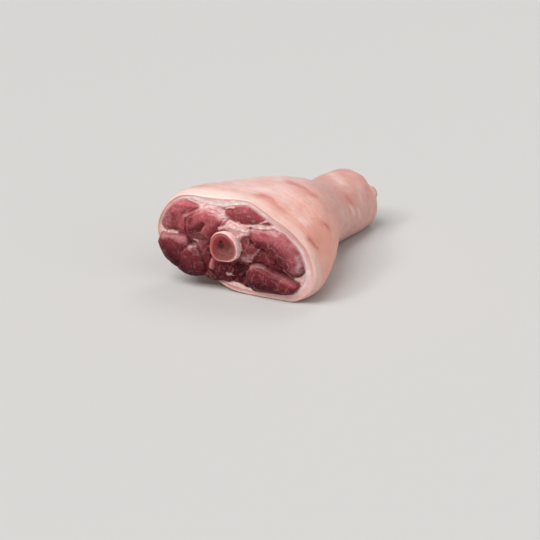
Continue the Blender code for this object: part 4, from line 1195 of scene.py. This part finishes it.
def make_muscles():
    """The flesh: the cut face round the bone, the wall in the fat, the hock end and the bone's bore."""
    angles = even_angles(MUSCLE_SPOKES, np.subtract(RIM_RADII, RIM_FAT))
    free = retreat(angles)
    loose = ease(free, 0.02, 0.25)
    bone = bone_point(0.0, angles, bone_size(0.0)[0] + GAP)
    inner = skin_point(0.0, angles, body_fat(angles, 0.0) + GAP)
    rim = skin_point(0.0, angles, -OVERHANG)
    outline = inner + (loose_outline(bone, rim) - inner) * loose[:, None]
    face, edge, masks = muscle_face(bone, outline, loose)
    end = WALL_START + RETREAT * free
    rings = []
    for a in np.linspace(0.0, math.radians(89.9), 10)[1:]:
        y = (end + edge) * math.sin(a) - edge
        wall = skin_point(y, angles, body_fat(angles, y) + GAP)
        over = wall + (outline - inner) * math.cos(a) ** 0.7
        rings.append(np.stack((over[:, 0], wall[:, 1], over[:, 2]), axis=-1))
    back = LENGTH - HOCK_RECESS
    for u in np.linspace(0.0, 1.0, 20)[1:]:
        y = end + (back - end) * u
        rings.append(skin_point(y, angles, body_fat(angles, y) + GAP))
    cap, white = hock_cap(rings[-1], bone_point(back, angles, bone_size(back)[0] + GAP))
    bore = [bone_point(y, angles, bone_size(y)[0] + GAP) for y in np.linspace(back - 2.0, 2.0, 12)]
    points = np.concatenate((face, rings, cap, bore))

    masks = {name: np.concatenate((mask, np.repeat(mask[-1:], len(points) - len(mask), axis=0)))
             for name, mask in masks.items()}
    start = len(face) + len(rings)
    masks["fat"][start:start + len(cap)] = white
    masks["shade"][start:] = FAT_SHADE
    masks["seam"][start:] = 0.0
    masks["film_and_sheen"][start:] = 0.0
    make_piece("muscles", "meat", points, masks, meat_finish())


def tube_rings(front, back, corner, lip):
    """Distance along and radius of the bone's rings: out over the front end, back along the
    outside, in over the far end and home through the bore."""
    turn = [(1.0 - math.cos(a), 1.0 - math.sin(a)) for a in np.linspace(0.0, math.pi / 2, EDGE_STEPS)]
    outside, inside = bone_size(front)
    rings = [(front, radius) for radius in np.linspace(inside + lip, outside - corner, BONE_END_STEPS)]
    rings += [(front + corner * cos, outside - corner * sin) for cos, sin in turn[1:]]
    rings += [(y, bone_size(y)[0]) for y in np.linspace(front + corner, back - corner, 60)[1:]]
    outside, inside = bone_size(back)
    rings += [(back - corner * sin, outside - corner * cos) for cos, sin in turn[1:]]
    rings += [(back, radius) for radius in np.linspace(outside - corner, inside + lip, BONE_END_STEPS)[1:]]
    rings += [(back - lip * cos, inside + lip * sin) for cos, sin in turn[1:]]
    rings += [(y, bone_size(y)[1]) for y in np.linspace(back - lip, front + lip, 24)[1:]]
    inside = bone_size(front)[1]
    rings += [(front + lip * sin, inside + lip * cos) for cos, sin in turn[1:-1]]
    return np.array(rings, dtype=float)


def make_bone():
    """The shin bone: a sawn tube with rounded ends."""
    angles = np.arange(BONE_SPOKES) * math.tau / BONE_SPOKES
    rings = tube_rings(-BONE_STANDS_OUT, LENGTH - BONE_SET_BACK, BONE_CORNER, BONE_LIP)
    y, radius = rings[:, :1], rings[:, 1:]
    outer, inner = bone_size(y)
    radius = radius + wall_share(angles) * inner * np.clip((outer - radius) / (outer - inner), 0.0, 1.0)
    base = bone_point(y, angles, radius)
    points = base + outward(base) * lumps(base, BONE_LUMPS)[..., None]
    into_wall = radius - inner * (1.0 + wall_share(angles))
    blood = 0.8 * ease(into_wall, 1.1, 0.0) + 0.2 * ease(noise(base, 4.0, 23), 0.1, 0.6)
    make_piece("shin_bone", "bone", points, {"blood": np.clip(blood, 0.0, 1.0)}, bone_finish())


def make_marrow():
    """The marrow in the bone, gently domed and pitted where it is cut."""
    angles = np.arange(BONE_SPOKES) * math.tau / BONE_SPOKES
    front, back = MARROW_FRONT - BONE_STANDS_OUT, LENGTH - BONE_SET_BACK - MARROW_RECESS
    shares = np.linspace(0.004, 1.0, MARROW_STEPS)
    between = np.linspace(front, back, 26)[1:-1]
    rings = [(front, (bone_size(front)[1] - GAP) * share) for share in shares]
    rings += [(y, bone_size(y)[1] - GAP) for y in between]
    rings += [(back, (bone_size(back)[1] - GAP) * share) for share in shares[::-1]]
    rings = np.array(rings, dtype=float)
    base = bone_point(rings[:, :1], angles, rings[:, 1:] * (1.0 + wall_share(angles)))
    points = base.copy()
    middle = bone_point(front, 0.0, 0.0)
    across, up = base[..., 0] - middle[0], base[..., 2] - middle[2]
    order = np.arange(len(rings))[:, None]
    at_cut = order < MARROW_STEPS
    side = np.where(at_cut, -1.0, np.where(order >= len(rings) - MARROW_STEPS, 1.0, 0.0))
    relief = lumps(base, MARROW_LUMPS)
    pit = np.zeros(base.shape[:-1])
    for x, z, radius, deep, dark in MARROW_HOLES:
        hole = np.where(at_cut, np.exp(-(np.hypot(across - x, up - z) / radius) ** 2), 0.0)
        relief -= deep * hole
        # Darker in the holes, partly their colour, partly painted shade in them
        pit = np.maximum(pit, dark * ease(hole, 0.15, 0.9))
    out = np.concatenate((shares, np.ones(len(between)), shares[::-1]))[:, None]
    points[..., 1] += side * (relief * ease(out, 1.0, 0.9) - 0.5 * (1.0 - out**4))
    # Redder and darker towards the top left, partly its own colour, partly painted shade on its upper side
    red = 0.55 + (0.8 * up - 0.5 * across) / MARROW_RADIUS + 0.30 * noise(base, 4.0, 34)
    rim = 0.75 * ease(out, 0.78 - 0.14 * np.clip(up / MARROW_RADIUS, -1.0, 1.0), 1.0)
    masks = {"red": np.clip(red, 0.0, 1.0), "rim": rim, "pit": pit}
    make_piece("bone_marrow", "marrow", points, masks, marrow_finish(), open_ended=True)


def add_camera():
    camera = bpy.data.cameras.new("camera")
    camera.lens = CAMERA_LENS
    camera.sensor_width = CAMERA_SENSOR
    rig = add_object("camera", camera)
    rig.location = CAMERA_PLACE
    rig.rotation_euler = (CAMERA_PITCH, 0.0, CAMERA_TURN)
    bpy.context.scene.camera = rig


def add_light(name, place, strength, spread, colour):
    """Even light from far away, from the side where place lies, as soft as a screen spread wide."""
    light = bpy.data.lights.new(name, "SUN")
    light.energy = strength
    light.angle = math.radians(spread)
    light.color = colour
    lamp = add_object(name, light)
    lamp.location = place
    level = math.hypot(place[0], place[1])
    lamp.rotation_euler = (math.atan2(level, place[2]), 0.0, math.atan2(place[0], -place[1]))


def add_floor():
    mesh = bpy.data.meshes.new("floor")
    reach = FLOOR_REACH
    corners = ((-reach, -reach), (reach, -reach), (reach, reach), (-reach, reach))
    mesh.from_pydata([corner + (FLOOR_LEVEL,) for corner in corners], [], [(0, 1, 2, 3)])
    finish = Finish("floor", {"Roughness": 0.7, "Specular IOR Level": 0.2, "Base Color": FLOOR_COLOUR})
    mesh.materials.append(finish.material)
    floor = add_object("floor", mesh)


def add_world():
    world = bpy.data.worlds.new("studio")
    world.use_nodes = True
    background = world.node_tree.nodes["Background"]
    background.inputs["Color"].default_value = WORLD_COLOUR
    background.inputs["Strength"].default_value = WORLD_STRENGTH
    bpy.context.scene.world = world


make_rind()
make_muscles()
make_bone()
make_marrow()
add_floor()
add_world()
for lamp_row in LIGHTS:
    add_light(*lamp_row)
add_camera()
bpy.context.scene.view_settings.view_transform = "Standard"
